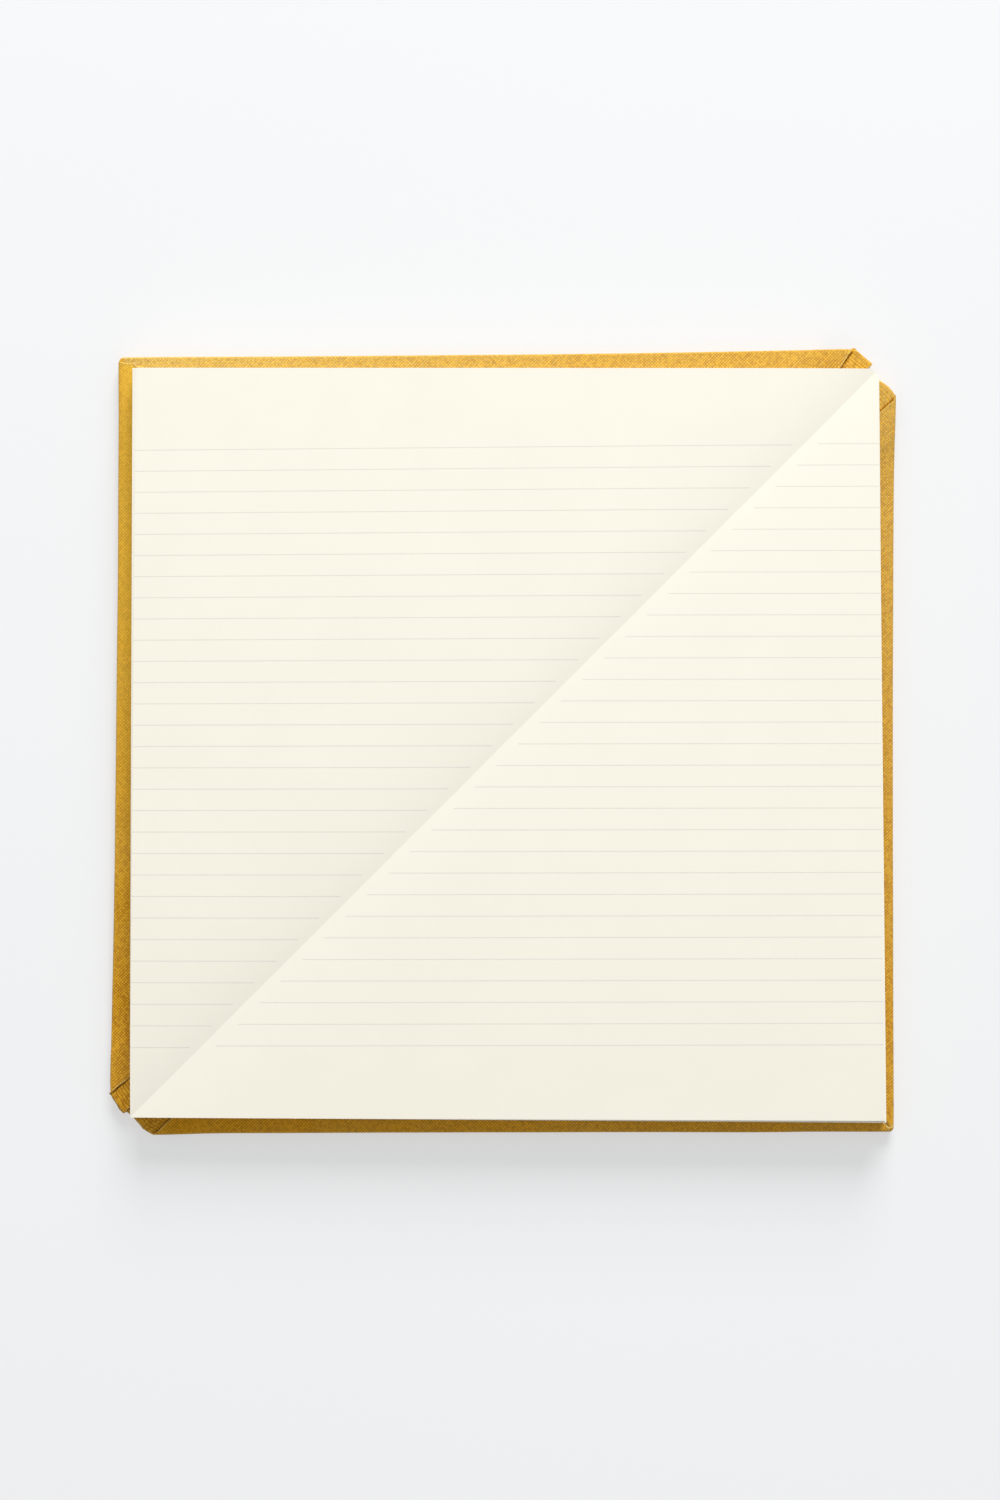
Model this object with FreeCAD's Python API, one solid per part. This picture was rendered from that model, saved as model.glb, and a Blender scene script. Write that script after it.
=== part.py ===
import FreeCAD, Part

import math
import os

# Triangular case-bound notebook, open at the middle and lying on its covers.
#
# The pieces are drawn in a spine frame: X runs across the spine, Y along it and Z up, with the
# origin under the middle of the spine, on the surface the notebook lies on. The right half is the
# mirror image of the left. Every solid is turned at export, so that in the finished frame the
# short sides of the leaves run along X and Y and the spine runs from -X -Y to +X +Y.
# All lengths are in millimetres and angles in degrees.

# Leaves and text block
leaf_leg = 170.0                # each of the two equal sides of a leaf
leaf_tip_cut = 1.0              # trimmed off each sharp tip, square to the spine
leaf_fan = 0.5                  # how far the top leaves lie inside the bottom ones, at each short side
block_half_thickness = 6.2      # each half of the open block
gutter_dip = 1.8                # how far the opening sinks at the spine
gutter_reach = 28.0             # how far from the spine the leaves start to sink
fold_slot_half_width = 0.9      # half the gap between the two folded-back halves of the block's back
fold_thickness = 0.9            # paper between the bottom of the opening and the top of that gap

# Case
board_thickness = 2.2
spine_board_width = 13.2
spine_board_thickness = 2.0
cloth_thickness = 0.4
square_at_corner = 3.5          # overhang of the cover past the leaves, at the right-angled corner
square_at_tip = 5.0             # overhang of the cover past the leaves, at the sharp tips
square_at_spine_end = 1.0       # overhang of the spine past the trimmed tips
corner_radius = 2.0             # of the cover's right-angled corner
turn_in_width = 15.0            # cloth folded over onto the inside of a board or of the spine
groove_width = 4.4              # flexible joint between the spine strip and the hinge line
hinge_clearance = 0.7           # between the hinge line and the cloth round the board's edge

# Papers, lining and thread
paper_thickness = 0.15          # endpapers
lining_thickness = 0.2
lining_length = 210.0
thread_diameter = 0.6
stitch_count = 8
stitch_pitch = 26.0
stitch_length = 22.0

# Room left between the doubled cloth at the groove's ends and the edges of the leaves
leaf_edge_clearance = 0.3

# The finished frame's turn about Z
spine_turn = -45.0

# Worked out from the driving dimensions
leaf_reach = leaf_leg / math.sqrt(2)
leaf_tip = leaf_reach - leaf_tip_cut
case_corner = leaf_reach + square_at_corner * math.sqrt(2)
case_peak = leaf_reach + square_at_tip * math.sqrt(2)
case_end = leaf_tip + square_at_spine_end
leg_angle = math.atan2(case_peak, case_corner)

spine_half_width = spine_board_width / 2 + cloth_thickness
hinge_edge = spine_half_width + groove_width
cover_edge = hinge_edge + hinge_clearance
board_edge = cover_edge + cloth_thickness

board_top = cloth_thickness + board_thickness
cover_top = board_top + cloth_thickness
groove_bottom = cloth_thickness + spine_board_thickness
groove_top = groove_bottom + cloth_thickness
lining_top = groove_top + lining_thickness
endpaper_base = max(cover_top, lining_top)
flyleaf_base = endpaper_base + paper_thickness
block_base = flyleaf_base + paper_thickness
block_top = block_base + block_half_thickness
slot_top = block_top - gutter_dip - fold_thickness
hinge_height = groove_bottom + cloth_thickness / 2

# Larger than the whole notebook, for cutting blocks
beyond = 2 * case_peak


def vector(x, y, z):
    """Shorthand for a point or direction."""
    return FreeCAD.Vector(x, y, z)


def box(x_low, x_high, y_low, y_high, z_low, z_high):
    """A block between two corners."""
    return Part.makeBox(x_high - x_low, y_high - y_low, z_high - z_low, vector(x_low, y_low, z_low))


def prism(outline, z_low, z_high):
    """A plan outline of (x, y) points, raised from one height to another."""
    points = [vector(x, y, z_low) for x, y in outline]
    face = Part.Face(Part.makePolygon(points + points[:1]))
    return face.extrude(vector(0, 0, z_high - z_low))


def merged(shapes):
    """Touching shapes joined into one solid without seams."""
    whole = shapes[0].fuse(shapes[1:])
    return whole.removeSplitter()


def mirrored(shape):
    """The same piece on the other side of the spine."""
    return shape.mirror(vector(0, 0, 0), vector(1, 0, 0))


def both_sides(shape):
    """A left-hand shape and its mirror image, as a list."""
    return [shape, mirrored(shape)]


def left_of(edge, z_low, z_high):
    """Everything on the left of the line x = -edge, between two heights."""
    return box(-beyond, -edge, -beyond, beyond, z_low, z_high)


def leaf_outline(grow, tip):
    """Plan outline of both leaves of an opening, moved out by grow, with its tips cut at y = tip."""
    reach = leaf_reach + grow * math.sqrt(2)
    cut = reach - tip
    return [(-reach, 0), (-cut, tip), (cut, tip), (reach, 0), (cut, -tip), (-cut, -tip)]


def leaf_prism(grow, z_low, z_high):
    """Both leaves of the opening as a straight-sided block, with their outline moved out by grow."""
    return prism(leaf_outline(grow, leaf_tip + grow), z_low, z_high)


def fanned_prism():
    """The block of leaves, whose short sides lean in from the bottom leaf to the top one."""
    rings = []
    for grow, height in ((0, block_base), (-leaf_fan, block_top)):
        points = [vector(x, y, height) for x, y in leaf_outline(grow, leaf_tip - leaf_fan)]
        rings.append(Part.makePolygon(points + points[:1]))
    return Part.makeLoft(rings, True, True)


def case_prism(inset, z_low, z_high):
    """The whole open case, with its outline moved in by inset and its two corners rounded."""
    corner = case_corner - inset / math.sin(leg_angle)
    end = case_end - inset
    end_half = corner - end / math.tan(leg_angle)
    outline = [(-corner, 0), (-end_half, end), (end_half, end)]
    outline += [(-x, -y) for x, y in outline]
    solid = prism(outline, z_low, z_high)
    radius = corner_radius - inset
    if radius <= 0:
        return solid
    corners = [edge for edge in solid.Edges if is_cover_corner(edge, corner)]
    return solid.makeFillet(radius, corners)


def is_cover_corner(edge, corner):
    """Whether an edge is one of the two upright edges at the cover's right-angled corners."""
    middle = edge.CenterOfMass
    upright = all(abs(point.Point.y) < cloth_thickness for point in edge.Vertexes)
    return upright and abs(abs(middle.x) - corner) < cloth_thickness


def make_text_block():
    """The leaves: two half blocks joined at the fold, with their backs folded against each other."""
    lip = block_top - gutter_dip
    sink_radius = (gutter_reach ** 2 + gutter_dip ** 2) / (2 * gutter_dip)
    half_angle = math.asin(gutter_reach / sink_radius) / 2
    mid_x = gutter_reach - sink_radius * math.sin(half_angle)
    mid_z = block_top - sink_radius * (1 - math.cos(half_angle))
    start = -leaf_tip

    def at(x, z):
        return vector(x, start, z)

    def line(first, second):
        return Part.LineSegment(at(*first), at(*second)).toShape()

    left_sink = Part.Arc(at(-gutter_reach, block_top), at(-mid_x, mid_z), at(0, lip)).toShape()
    right_sink = Part.Arc(at(0, lip), at(mid_x, mid_z), at(gutter_reach, block_top)).toShape()
    edges = [
        line((-leaf_reach, block_top), (-gutter_reach, block_top)),
        left_sink,
        right_sink,
        line((gutter_reach, block_top), (leaf_reach, block_top)),
        line((leaf_reach, block_top), (leaf_reach, block_base)),
        line((leaf_reach, block_base), (fold_slot_half_width, block_base)),
        line((fold_slot_half_width, block_base), (fold_slot_half_width, slot_top)),
        line((fold_slot_half_width, slot_top), (-fold_slot_half_width, slot_top)),
        line((-fold_slot_half_width, slot_top), (-fold_slot_half_width, block_base)),
        line((-fold_slot_half_width, block_base), (-leaf_reach, block_base)),
        line((-leaf_reach, block_base), (-leaf_reach, block_top)),
    ]
    section = Part.Face(Part.Wire(edges))
    run = section.extrude(vector(0, 2 * leaf_tip, 0))
    return run.common(fanned_prism())


def make_sewing_thread():
    """The stitches that show on the block's back, lying along the top of the fold."""
    radius = thread_diameter / 2
    height = slot_top - radius
    first = -stitch_pitch * (stitch_count - 1) / 2
    stitches = []
    for number in range(stitch_count):
        start = vector(0, first + number * stitch_pitch - stitch_length / 2, height)
        stitches.append(Part.makeCylinder(radius, stitch_length, start, vector(0, 1, 0)))
    return Part.makeCompound(stitches)


def make_spine_lining():
    """Gauze glued up both folded-back halves of the back and out across both joints."""
    crown = slot_top - thread_diameter
    half_length = lining_length / 2
    inner = fold_slot_half_width - lining_thickness
    wing = box(-hinge_edge, -inner, -half_length, half_length, groove_top, lining_top)
    wall = box(-fold_slot_half_width, -inner, -half_length, half_length, groove_top, crown)
    cap = box(
        -fold_slot_half_width, fold_slot_half_width,
        -half_length, half_length,
        crown - lining_thickness, crown,
    )
    whole = merged(both_sides(wing) + both_sides(wall) + [cap])
    return whole.common(leaf_prism(0, groove_top, crown))


def make_left_flyleaf():
    """The free half of the endpaper, with the strip past its fold that crosses the joint."""
    leaf = leaf_prism(0, flyleaf_base, block_base)
    leaf = leaf.common(left_of(fold_slot_half_width, flyleaf_base, block_base))
    strip = leaf_prism(0, endpaper_base, flyleaf_base)
    strip = strip.common(box(
        -hinge_edge, -fold_slot_half_width,
        -beyond, beyond,
        endpaper_base, flyleaf_base,
    ))
    return merged([leaf, strip])


def make_left_pastedown():
    """The glued half of the endpaper: over the turned-in cloth at its edges, on the board inside."""
    top = cover_top + paper_thickness
    rim = leaf_prism(0, cover_top, top).cut(case_prism(turn_in_width, cover_top, top))
    step = case_prism(turn_in_width, board_top, top)
    step = step.cut(case_prism(turn_in_width + paper_thickness, board_top, top))
    sheet = case_prism(turn_in_width, board_top, board_top + paper_thickness)
    whole = merged([rim, step, sheet])
    return whole.common(left_of(cover_edge, board_top, top))


def make_left_board():
    """Triangular greyboard inside the left cover."""
    board = case_prism(cloth_thickness, cloth_thickness, board_top)
    return board.common(left_of(board_edge, cloth_thickness, board_top))


def make_left_cover_cloth():
    """Book cloth under the left board, up round its edges and turned in over its inside."""
    wrap = case_prism(0, 0, cover_top).common(left_of(cover_edge, 0, cover_top))
    window = case_prism(turn_in_width, board_top, cover_top)
    return wrap.cut([make_left_board(), window])


def make_spine_board():
    """The stiff strip inside the spine."""
    strip = case_prism(cloth_thickness, cloth_thickness, groove_bottom)
    half = spine_board_width / 2
    return strip.common(box(-half, half, -beyond, beyond, cloth_thickness, groove_bottom))


def make_spine_cloth():
    """Book cloth round the spine board, turned in at its ends, and up into both joints."""
    half = spine_board_width / 2
    strip = case_prism(0, 0, groove_top)
    strip = strip.common(box(-spine_half_width, spine_half_width, -beyond, beyond, 0, groove_top))
    turn_in_line = case_end - turn_in_width
    opening = box(-half, half, -turn_in_line, turn_in_line, groove_bottom, groove_top)
    strip = strip.cut([make_spine_board(), opening])

    joint_width = box(-hinge_edge, -half, -beyond, beyond, groove_bottom, beyond)
    joint = case_prism(0, groove_bottom, groove_top).common(joint_width)
    fold = case_prism(0, groove_top, groove_top + cloth_thickness).common(joint_width)
    fold = fold.cut(leaf_prism(leaf_edge_clearance, groove_top, groove_top + cloth_thickness))
    return merged([strip] + both_sides(joint) + both_sides(fold))


def build_parts():
    """Every piece by its name."""
    flyleaf = make_left_flyleaf()
    pastedown = make_left_pastedown()
    board = make_left_board()
    cloth = make_left_cover_cloth()
    return {
        "text_block": make_text_block(),
        "sewing_thread": make_sewing_thread(),
        "spine_lining": make_spine_lining(),
        "left_flyleaf": flyleaf,
        "right_flyleaf": mirrored(flyleaf),
        "spine_board": make_spine_board(),
        "spine_cloth": make_spine_cloth(),
        "left_board": board,
        "left_cover_cloth": cloth,
        "left_pastedown": pastedown,
        "right_board": mirrored(board),
        "right_cover_cloth": mirrored(cloth),
        "right_pastedown": mirrored(pastedown),
    }


def main():
    """Turn each piece into the finished frame and write it."""
    os.makedirs("parts", exist_ok=True)
    for name, shape in build_parts().items():
        turned = shape.copy()
        turned.rotate(vector(0, 0, 0), vector(0, 0, 1), spine_turn)
        turned.exportStep("parts/" + name + ".step")
        volume = round(turned.Volume, 1)
        print(name, "solids", len(turned.Solids), "valid", turned.isValid(), "volume", volume)
    offset = hinge_edge / math.sqrt(2)
    print("hinge lines at", round(-offset, 4), round(offset, 4), "height", round(hinge_height, 4))


main()
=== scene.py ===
"""Looks for the triangular notebook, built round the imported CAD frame.

The notebook lies open at its middle. Its leaves are right-angled triangles bound along their long
side, so the two open pages make a square with the spine across it. Shapes are worked out in the
spine's own directions, in millimetres: t runs across the spine (negative on the left half), s runs
along it and z is up. They are turned into the frame, in metres, when a mesh is made.
"""

import logging
import math
from dataclasses import dataclass, field
from enum import Enum
from functools import partial
from typing import Callable, Iterable, Sequence

import bmesh
import bpy
import numpy as np
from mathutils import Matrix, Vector


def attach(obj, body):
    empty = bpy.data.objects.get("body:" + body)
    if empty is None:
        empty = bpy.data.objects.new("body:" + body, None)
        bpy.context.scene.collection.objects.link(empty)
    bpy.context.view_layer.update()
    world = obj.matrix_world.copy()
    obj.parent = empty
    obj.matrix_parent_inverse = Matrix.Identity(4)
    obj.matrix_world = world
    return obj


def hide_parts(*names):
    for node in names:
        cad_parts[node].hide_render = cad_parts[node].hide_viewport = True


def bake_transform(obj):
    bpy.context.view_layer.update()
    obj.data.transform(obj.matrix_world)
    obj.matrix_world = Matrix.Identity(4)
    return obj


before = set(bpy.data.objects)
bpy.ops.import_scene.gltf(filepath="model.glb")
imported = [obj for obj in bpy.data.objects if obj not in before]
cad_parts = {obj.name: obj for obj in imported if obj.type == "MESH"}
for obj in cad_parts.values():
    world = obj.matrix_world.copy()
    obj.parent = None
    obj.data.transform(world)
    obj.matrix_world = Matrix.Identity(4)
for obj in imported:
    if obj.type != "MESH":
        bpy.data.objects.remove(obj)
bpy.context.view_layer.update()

log = logging.getLogger("notebook")

MM = 0.001
ROOT2 = math.sqrt(2.0)

# Widths that several pieces share, in millimetres: the case cloth's turn-ins, the strip over which
# a sheet bends at a cover's hinge, and half the gap between the two stacks of leaves.
TURN_IN = 15.0
HINGE_WIDTH = 0.7
BACK_GAP = 0.9

FLAT_MAP = "flat_cut"
# Point attribute: the cloth's rubbing, with painted highlights and paleness, and below zero painted
# crease shade.
WEAR_AND_LIGHT = "edge_wear_and_painted_light"


# ---------------------------------------------------------------- directions and small helpers


class Side(Enum):
    """The two halves of the open notebook, by the sign of t."""

    LEFT = -1
    RIGHT = 1

    @property
    def word(self) -> str:
        """The side's name, as it stands in piece names."""
        return self.name.lower()

    @property
    def cover(self) -> str:
        """The CAD body of the cover on this side."""
        return f"{self.word}_cover"


class End(Enum):
    """The two ends of the spine, by the sign of s."""

    TOP = 1
    BOTTOM = -1


class CornerFold(Enum):
    """How the two turn-ins meet at a cover's right-angled corner."""

    LAPPED = "lapped"
    TUCKED = "tucked"


def to_frame(points: np.ndarray) -> np.ndarray:
    """Turns (t, s, z) in millimetres into the frame.

    Args:
        points: An array whose last axis holds t, s and z.

    Returns:
        The same points as x, y and z in metres.
    """
    t, s, z = points[..., 0], points[..., 1], points[..., 2]
    return np.stack([(t + s) / ROOT2, (s - t) / ROOT2, z], -1) * MM


def from_frame(points: np.ndarray) -> np.ndarray:
    """Turns frame points in metres into (t, s, z) in millimetres.

    Args:
        points: An array whose last axis holds x, y and z.

    Returns:
        The same points in the spine's directions.
    """
    x, y, z = points[..., 0], points[..., 1], points[..., 2]
    return np.stack([(x - y) / ROOT2, (x + y) / ROOT2, z], -1) / MM


def node_extent(node: str) -> tuple[np.ndarray, np.ndarray]:
    """Lowest and highest (t, s, z) of a CAD node.

    Args:
        node: The node's name.

    Returns:
        Two arrays of t, s and z in millimetres.
    """
    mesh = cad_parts[node].data
    places = np.array([v.co for v in mesh.vertices], float).reshape(-1, 3)
    spine = from_frame(places)
    return spine.min(0), spine.max(0)


def ease(x: float) -> float:
    """A smooth step from 0 to 1."""
    x = min(max(x, 0.0), 1.0)
    return x * x * (3.0 - 2.0 * x)


def ramp(x: float, low: float, high: float) -> float:
    """How far x is from low to high, eased and held at 0 and 1 outside."""
    return ease((x - low) / (high - low))


def ripple(x: float, seed: float) -> float:
    """A gentle wave from -1 to 1, different for each seed.

    Args:
        x: A place along the wave, in millimetres.
        seed: Any number.

    Returns:
        The wave's height there.
    """
    return (
        0.5 * math.sin(x / 9.7 + seed * 2.3)
        + 0.3 * math.sin(x / 4.1 + seed * 5.1)
        + 0.2 * math.sin(x / 23.0 + seed * 1.7)
    )


# ---------------------------------------------------------------- meshes


class PieceMesh:
    """Gathers the faces of one piece, in the spine's directions, and makes its object."""

    def __init__(self) -> None:
        """Starts with no faces."""
        self.points: list[tuple[float, float, float]] = []
        self.wear_and_light: list[float] = []
        self.places: dict[tuple, int] = {}
        self.faces: list[list[int]] = []
        self.flats: list[list[tuple[float, float]]] = []
        self.finishes: list[int] = []

    def vertex(self, point: Sequence[float], wear_and_light: float = 0.0, layer: int = 0) -> int:
        """Adds a vertex, or finds the one already there.

        Args:
            point: t, s and z in millimetres.
            wear_and_light: Rubbing from 0 to 1, with painted highlights; below zero painted crease
                shade.
            layer: Vertices are only shared within one layer.

        Returns:
            The vertex's number.
        """
        key = (layer, *(round(float(x), 4) for x in point))
        if key not in self.places:
            self.places[key] = len(self.points)
            self.points.append(tuple(float(x) for x in point))
            self.wear_and_light.append(float(wear_and_light))
        return self.places[key]

    def face(
        self,
        corners: Sequence[int],
        flats: Sequence[tuple[float, float]],
        finish: int = 0,
    ) -> None:
        """Adds a face, leaving out corners that fall together.

        Args:
            corners: Vertex numbers, in order.
            flats: Where each corner lies on the flat cut, in millimetres.
            finish: Which of the piece's materials it has.
        """
        kept = [i for i, c in enumerate(corners) if c != corners[i - 1]]
        if len({corners[i] for i in kept}) < 3:
            return
        self.faces.append([corners[i] for i in kept])
        self.flats.append([flats[i] for i in kept])
        self.finishes.append(finish)

    def grid(
        self,
        points: np.ndarray,
        flats: np.ndarray | None = None,
        wear_and_light: np.ndarray | None = None,
        flip: bool = False,
        layer: int = 0,
        finish: int = 0,
    ) -> None:
        """Adds a grid of four-sided faces.

        Args:
            points: Rows and columns of (t, s, z).
            flats: Rows and columns of places on the flat cut; t and s where it is left out.
            wear_and_light: Rows and columns of rubbing, painted highlights and painted crease shade.
            flip: Whether the faces look the other way.
            layer: Vertices are only shared within one layer.
            finish: Which of the piece's materials the faces have.
        """
        rows, columns = points.shape[:2]
        flats = points[..., :2] if flats is None else flats
        wear_and_light = np.zeros((rows, columns)) if wear_and_light is None else wear_and_light
        number = [
            [self.vertex(points[j, k], wear_and_light[j, k], layer) for k in range(columns)]
            for j in range(rows)
        ]
        for j in range(rows - 1):
            for k in range(columns - 1):
                around = [(j, k), (j + 1, k), (j + 1, k + 1), (j, k + 1)]
                if flip:
                    around.reverse()
                self.face(
                    [number[a][b] for a, b in around],
                    [tuple(flats[a, b]) for a, b in around],
                    finish,
                )

    def slab(
        self, top: np.ndarray, bottom: np.ndarray, flip: bool = False, layer: int = 0
    ) -> None:
        """Adds a closed slab between two grids of the same size.

        Args:
            top: Rows and columns of (t, s, z) on the upper face.
            bottom: The same on the lower face.
            flip: Whether the faces look the other way.
            layer: Vertices are only shared within one layer.
        """
        self.grid(top, flip=flip, layer=layer)
        self.grid(bottom, flip=not flip, layer=layer)
        for edge, turned in (
            ((slice(None), 0), False),
            ((slice(None), -1), True),
            ((0, slice(None)), True),
            ((-1, slice(None)), False),
        ):
            wall = np.stack([bottom[edge], top[edge]], 1)
            self.grid(wall, flip=flip != turned, layer=layer)

    def cap(
        self,
        ring: Sequence[Sequence[float]],
        turned: bool,
        layer: int = 0,
        flats: Sequence[tuple[float, float]] | None = None,
    ) -> None:
        """Closes the end of a tube with one face.

        Args:
            ring: The tube's end, with its first point again as the last.
            turned: Whether the face goes round against the ring.
            layer: The tube's layer.
            flats: Where each corner lies on the flat cut; all at 0 where it is left out.
        """
        numbers = [self.vertex(point, layer=layer) for point in ring[:-1]]
        if turned:
            numbers.reverse()
        self.face(numbers, flats or [(0.0, 0.0)] * len(numbers))

    def flat_area(self) -> float:
        """Measures the faces as they lie on the flat cut.

        Returns:
            Their area in square metres.
        """
        total = 0.0
        for corners in self.flats:
            xy = np.array(corners, float)
            nxt = np.roll(xy, -1, 0)
            total += abs(float((xy[:, 0] * nxt[:, 1] - xy[:, 1] * nxt[:, 0]).sum())) / 2
        return total * MM * MM

    def flat_size(self) -> tuple[float, float]:
        """Measures how far the flat cut reaches.

        Returns:
            Its width across the spine and its length along it, in metres.
        """
        xy = np.array([c for corners in self.flats for c in corners], float)
        width, length = np.ptp(xy, axis=0) * MM
        return float(width), float(length)

    def piece(
        self,
        name: str,
        materials: Iterable[bpy.types.Material],
        thickness: float = 0.0,
        crease: float = 35.0,
    ) -> bpy.types.Object:
        """Makes the piece's object.

        Args:
            name: The object's name.
            materials: Its materials, in slot order.
            thickness: How thick to make an open skin, inwards, in millimetres.
            crease: Edges sharper than this many degrees stay sharp.

        Returns:
            The object, linked to the scene.
        """
        mesh = bpy.data.meshes.new(name)
        places = to_frame(np.array(self.points, float))
        mesh.from_pydata(places.tolist(), [], self.faces)
        uv = mesh.uv_layers.new(name=FLAT_MAP)
        flats = np.array([c for corners in self.flats for c in corners], np.float32)
        uv.uv.foreach_set("vector", flats.ravel())
        # The cloth's rubbing, painted highlights and paleness, and painted crease shade.
        wear_and_light = mesh.attributes.new(WEAR_AND_LIGHT, "FLOAT", "POINT")
        wear_and_light.data.foreach_set("value", np.array(self.wear_and_light, np.float32))
        mesh.polygons.foreach_set("material_index", np.array(self.finishes, np.int32))
        for material in materials:
            mesh.materials.append(material)
        obj = bpy.data.objects.new(name, mesh)
        bpy.context.scene.collection.objects.link(obj)
        if thickness:
            solid = obj.modifiers.new("thickness", "SOLIDIFY")
            solid.thickness = thickness * MM
            solid.offset = -1.0
            solid.use_even_offset = False
            settle(obj)
        obj.data.shade_smooth()
        obj.data.set_sharp_from_angle(angle=math.radians(crease))
        return obj


def settle(obj: bpy.types.Object) -> None:
    """Applies an object's modifiers to its mesh.

    Args:
        obj: The object, which keeps no modifier.
    """
    view = bpy.context.evaluated_depsgraph_get()
    mesh = bpy.data.meshes.new_from_object(
        obj.evaluated_get(view), preserve_all_data_layers=True, depsgraph=view
    )
    obj.modifiers.clear()
    obj.data = mesh


# ---------------------------------------------------------------- finishes


class Nodes:
    """Writes a material's nodes with few words."""

    def __init__(self, name: str) -> None:
        """Starts a material with a shader and an output.

        Args:
            name: The material's name.
        """
        self.material = bpy.data.materials.new(name)
        self.material.use_nodes = True
        self.tree = self.material.node_tree
        self.shader = self.tree.nodes["Principled BSDF"]

    def node(self, kind: str, **values: object) -> bpy.types.Node:
        """Adds a node.

        Args:
            kind: Its type, without the ShaderNode at the front.
            **values: Node properties, or input values whose names start with in_.

        Returns:
            The node.
        """
        made = self.tree.nodes.new("ShaderNode" + kind)
        for key, value in values.items():
            if key.startswith("in_"):
                self.feed(made.inputs[key[3:].replace("_", " ")], value)
            else:
                setattr(made, key, value)
        return made

    def feed(self, socket: bpy.types.NodeSocket, value: object) -> None:
        """Links an output to a socket, or writes a plain value to it.

        Args:
            socket: The socket to feed.
            value: A node's output, or a number or colour.
        """
        if isinstance(value, bpy.types.NodeSocket):
            self.tree.links.new(value, socket)
        else:
            socket.default_value = value

    def math(self, operation: str, *values: object) -> bpy.types.NodeSocket:
        """Adds a Math node.

        Args:
            operation: What it works out.
            *values: Its inputs, in order.

        Returns:
            Its output.
        """
        made = self.node("Math", operation=operation)
        for socket, value in zip(made.inputs, values):
            self.feed(socket, value)
        return made.outputs[0]

    def noise(
        self, place: object, scale: float, detail: float = 2.0, rough: float = 0.5
    ) -> bpy.types.NodeSocket:
        """Adds a Noise texture.

        Args:
            place: Where the noise is read.
            scale: Its size, in waves to a unit of place.
            detail: How many finer layers it has.
            rough: How strong the finer layers are.

        Returns:
            Its value.
        """
        made = self.node("TexNoise", in_Vector=place, in_Scale=scale)
        made.inputs["Detail"].default_value = detail
        made.inputs["Roughness"].default_value = rough
        return made.outputs[0]

    def stretched(
        self, place: object, scale: tuple[float, float, float]
    ) -> bpy.types.NodeSocket:
        """Scales a place along its axes."""
        made = self.node("Mapping", in_Vector=place, in_Scale=scale)
        return made.outputs[0]

    def mix(self, share: object, first: object, second: object) -> bpy.types.NodeSocket:
        """Mixes two colours.

        Args:
            share: How much of the second, from 0 to 1.
            first: The colour at 0.
            second: The colour at 1.

        Returns:
            The mixed colour.
        """
        made = self.node("Mix", data_type="RGBA")
        self.feed(made.inputs[0], share)
        self.feed(made.inputs[6], first)
        self.feed(made.inputs[7], second)
        return made.outputs[2]

    def span(self, value: object, low: float, high: float) -> bpy.types.NodeSocket:
        """Maps a range onto 0 to 1, held at both ends.

        Args:
            value: The value to map.
            low: What becomes 0.
            high: What becomes 1.

        Returns:
            The mapped value.
        """
        made = self.node("MapRange", in_Value=value)
        made.inputs["From Min"].default_value = low
        made.inputs["From Max"].default_value = high
        return made.outputs[0]

    def paint(self, colour: object, roughness: float, specular: float = 0.5) -> None:
        """Gives the shader its colour and gloss.

        Args:
            colour: A node's output.
            roughness: How dull the surface is.
            specular: How strongly it reflects.
        """
        self.feed(self.shader.inputs["Base Color"], colour)
        self.shader.inputs["Roughness"].default_value = roughness
        self.shader.inputs["Specular IOR Level"].default_value = specular

    def bump(self, height: object, strength: float, distance: float = MM) -> None:
        """Joins a height to the shader as a bump.

        Args:
            height: The height.
            strength: How strongly it shows, from 0 to 1.
            distance: The length of one unit of height, in metres.
        """
        made = self.node("Bump", in_Height=height, in_Strength=strength)
        made.inputs["Distance"].default_value = distance
        self.feed(self.shader.inputs["Normal"], made.outputs[0])


def rgba(colour: tuple[float, float, float], gain: float = 1.0) -> tuple:
    """A linear colour, made lighter or darker, with full opacity."""
    return (*(min(c * gain, 1.0) for c in colour), 1.0)


@dataclass(frozen=True)
class PaperFinish:
    """Uncoated paper: faint clouding in its colour, and the tooth of its fibres."""

    name: str
    colour: tuple[float, float, float]
    tooth: float = 0.012
    roughness: float = 0.88

    def material(self) -> bpy.types.Material:
        """Makes the paper's material.

        Returns:
            The material.
        """
        n = Nodes(self.name)
        place = n.node("TexCoord").outputs["Object"]
        cloud = n.noise(place, 60.0, 3.0, 0.6)
        fleck = n.noise(place, 2600.0, 3.0, 0.65)
        tone = n.math("ADD", n.math("MULTIPLY", cloud, 0.7), n.math("MULTIPLY", fleck, 0.3))
        colour = n.mix(n.span(tone, 0.3, 0.7), rgba(self.colour, 0.985), rgba(self.colour, 1.012))
        n.paint(colour, self.roughness, 0.25)
        fibres = n.noise(n.stretched(place, (1.0, 0.35, 1.0)), 3600.0, 4.0, 0.7)
        n.bump(n.math("MULTIPLY", fibres, self.tooth), 0.6)
        return n.material


@dataclass(frozen=True)
class InkFinish:
    """A pale printed rule: the paper's own surface, a little greyer, with uneven ink."""

    name: str
    colour: tuple[float, float, float]

    def material(self) -> bpy.types.Material:
        """Makes the rule's material.

        Returns:
            The material.
        """
        n = Nodes(self.name)
        place = n.node("TexCoord").outputs["Object"]
        patch = n.noise(place, 900.0, 3.0, 0.6)
        share = n.span(patch, 0.35, 0.75)
        colour = n.mix(share, rgba(self.colour), rgba(self.colour, 1.06))
        n.paint(colour, 0.8, 0.25)
        return n.material


@dataclass(frozen=True)
class PaintedLegLight:
    """A painted tone in the turn-in along one of the two lower legs: lighter where it stands in
    for light, a deeper orange where it stands in for shade.

    way is the sign of t on that leg. The tone sets in from start to full, which are distances
    from the spine's middle in millimetres. colour is its threads', and dim is how much of that
    is left between them.
    """

    way: float
    start: float
    full: float
    colour: tuple[float, float, float]
    dim: float


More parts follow.
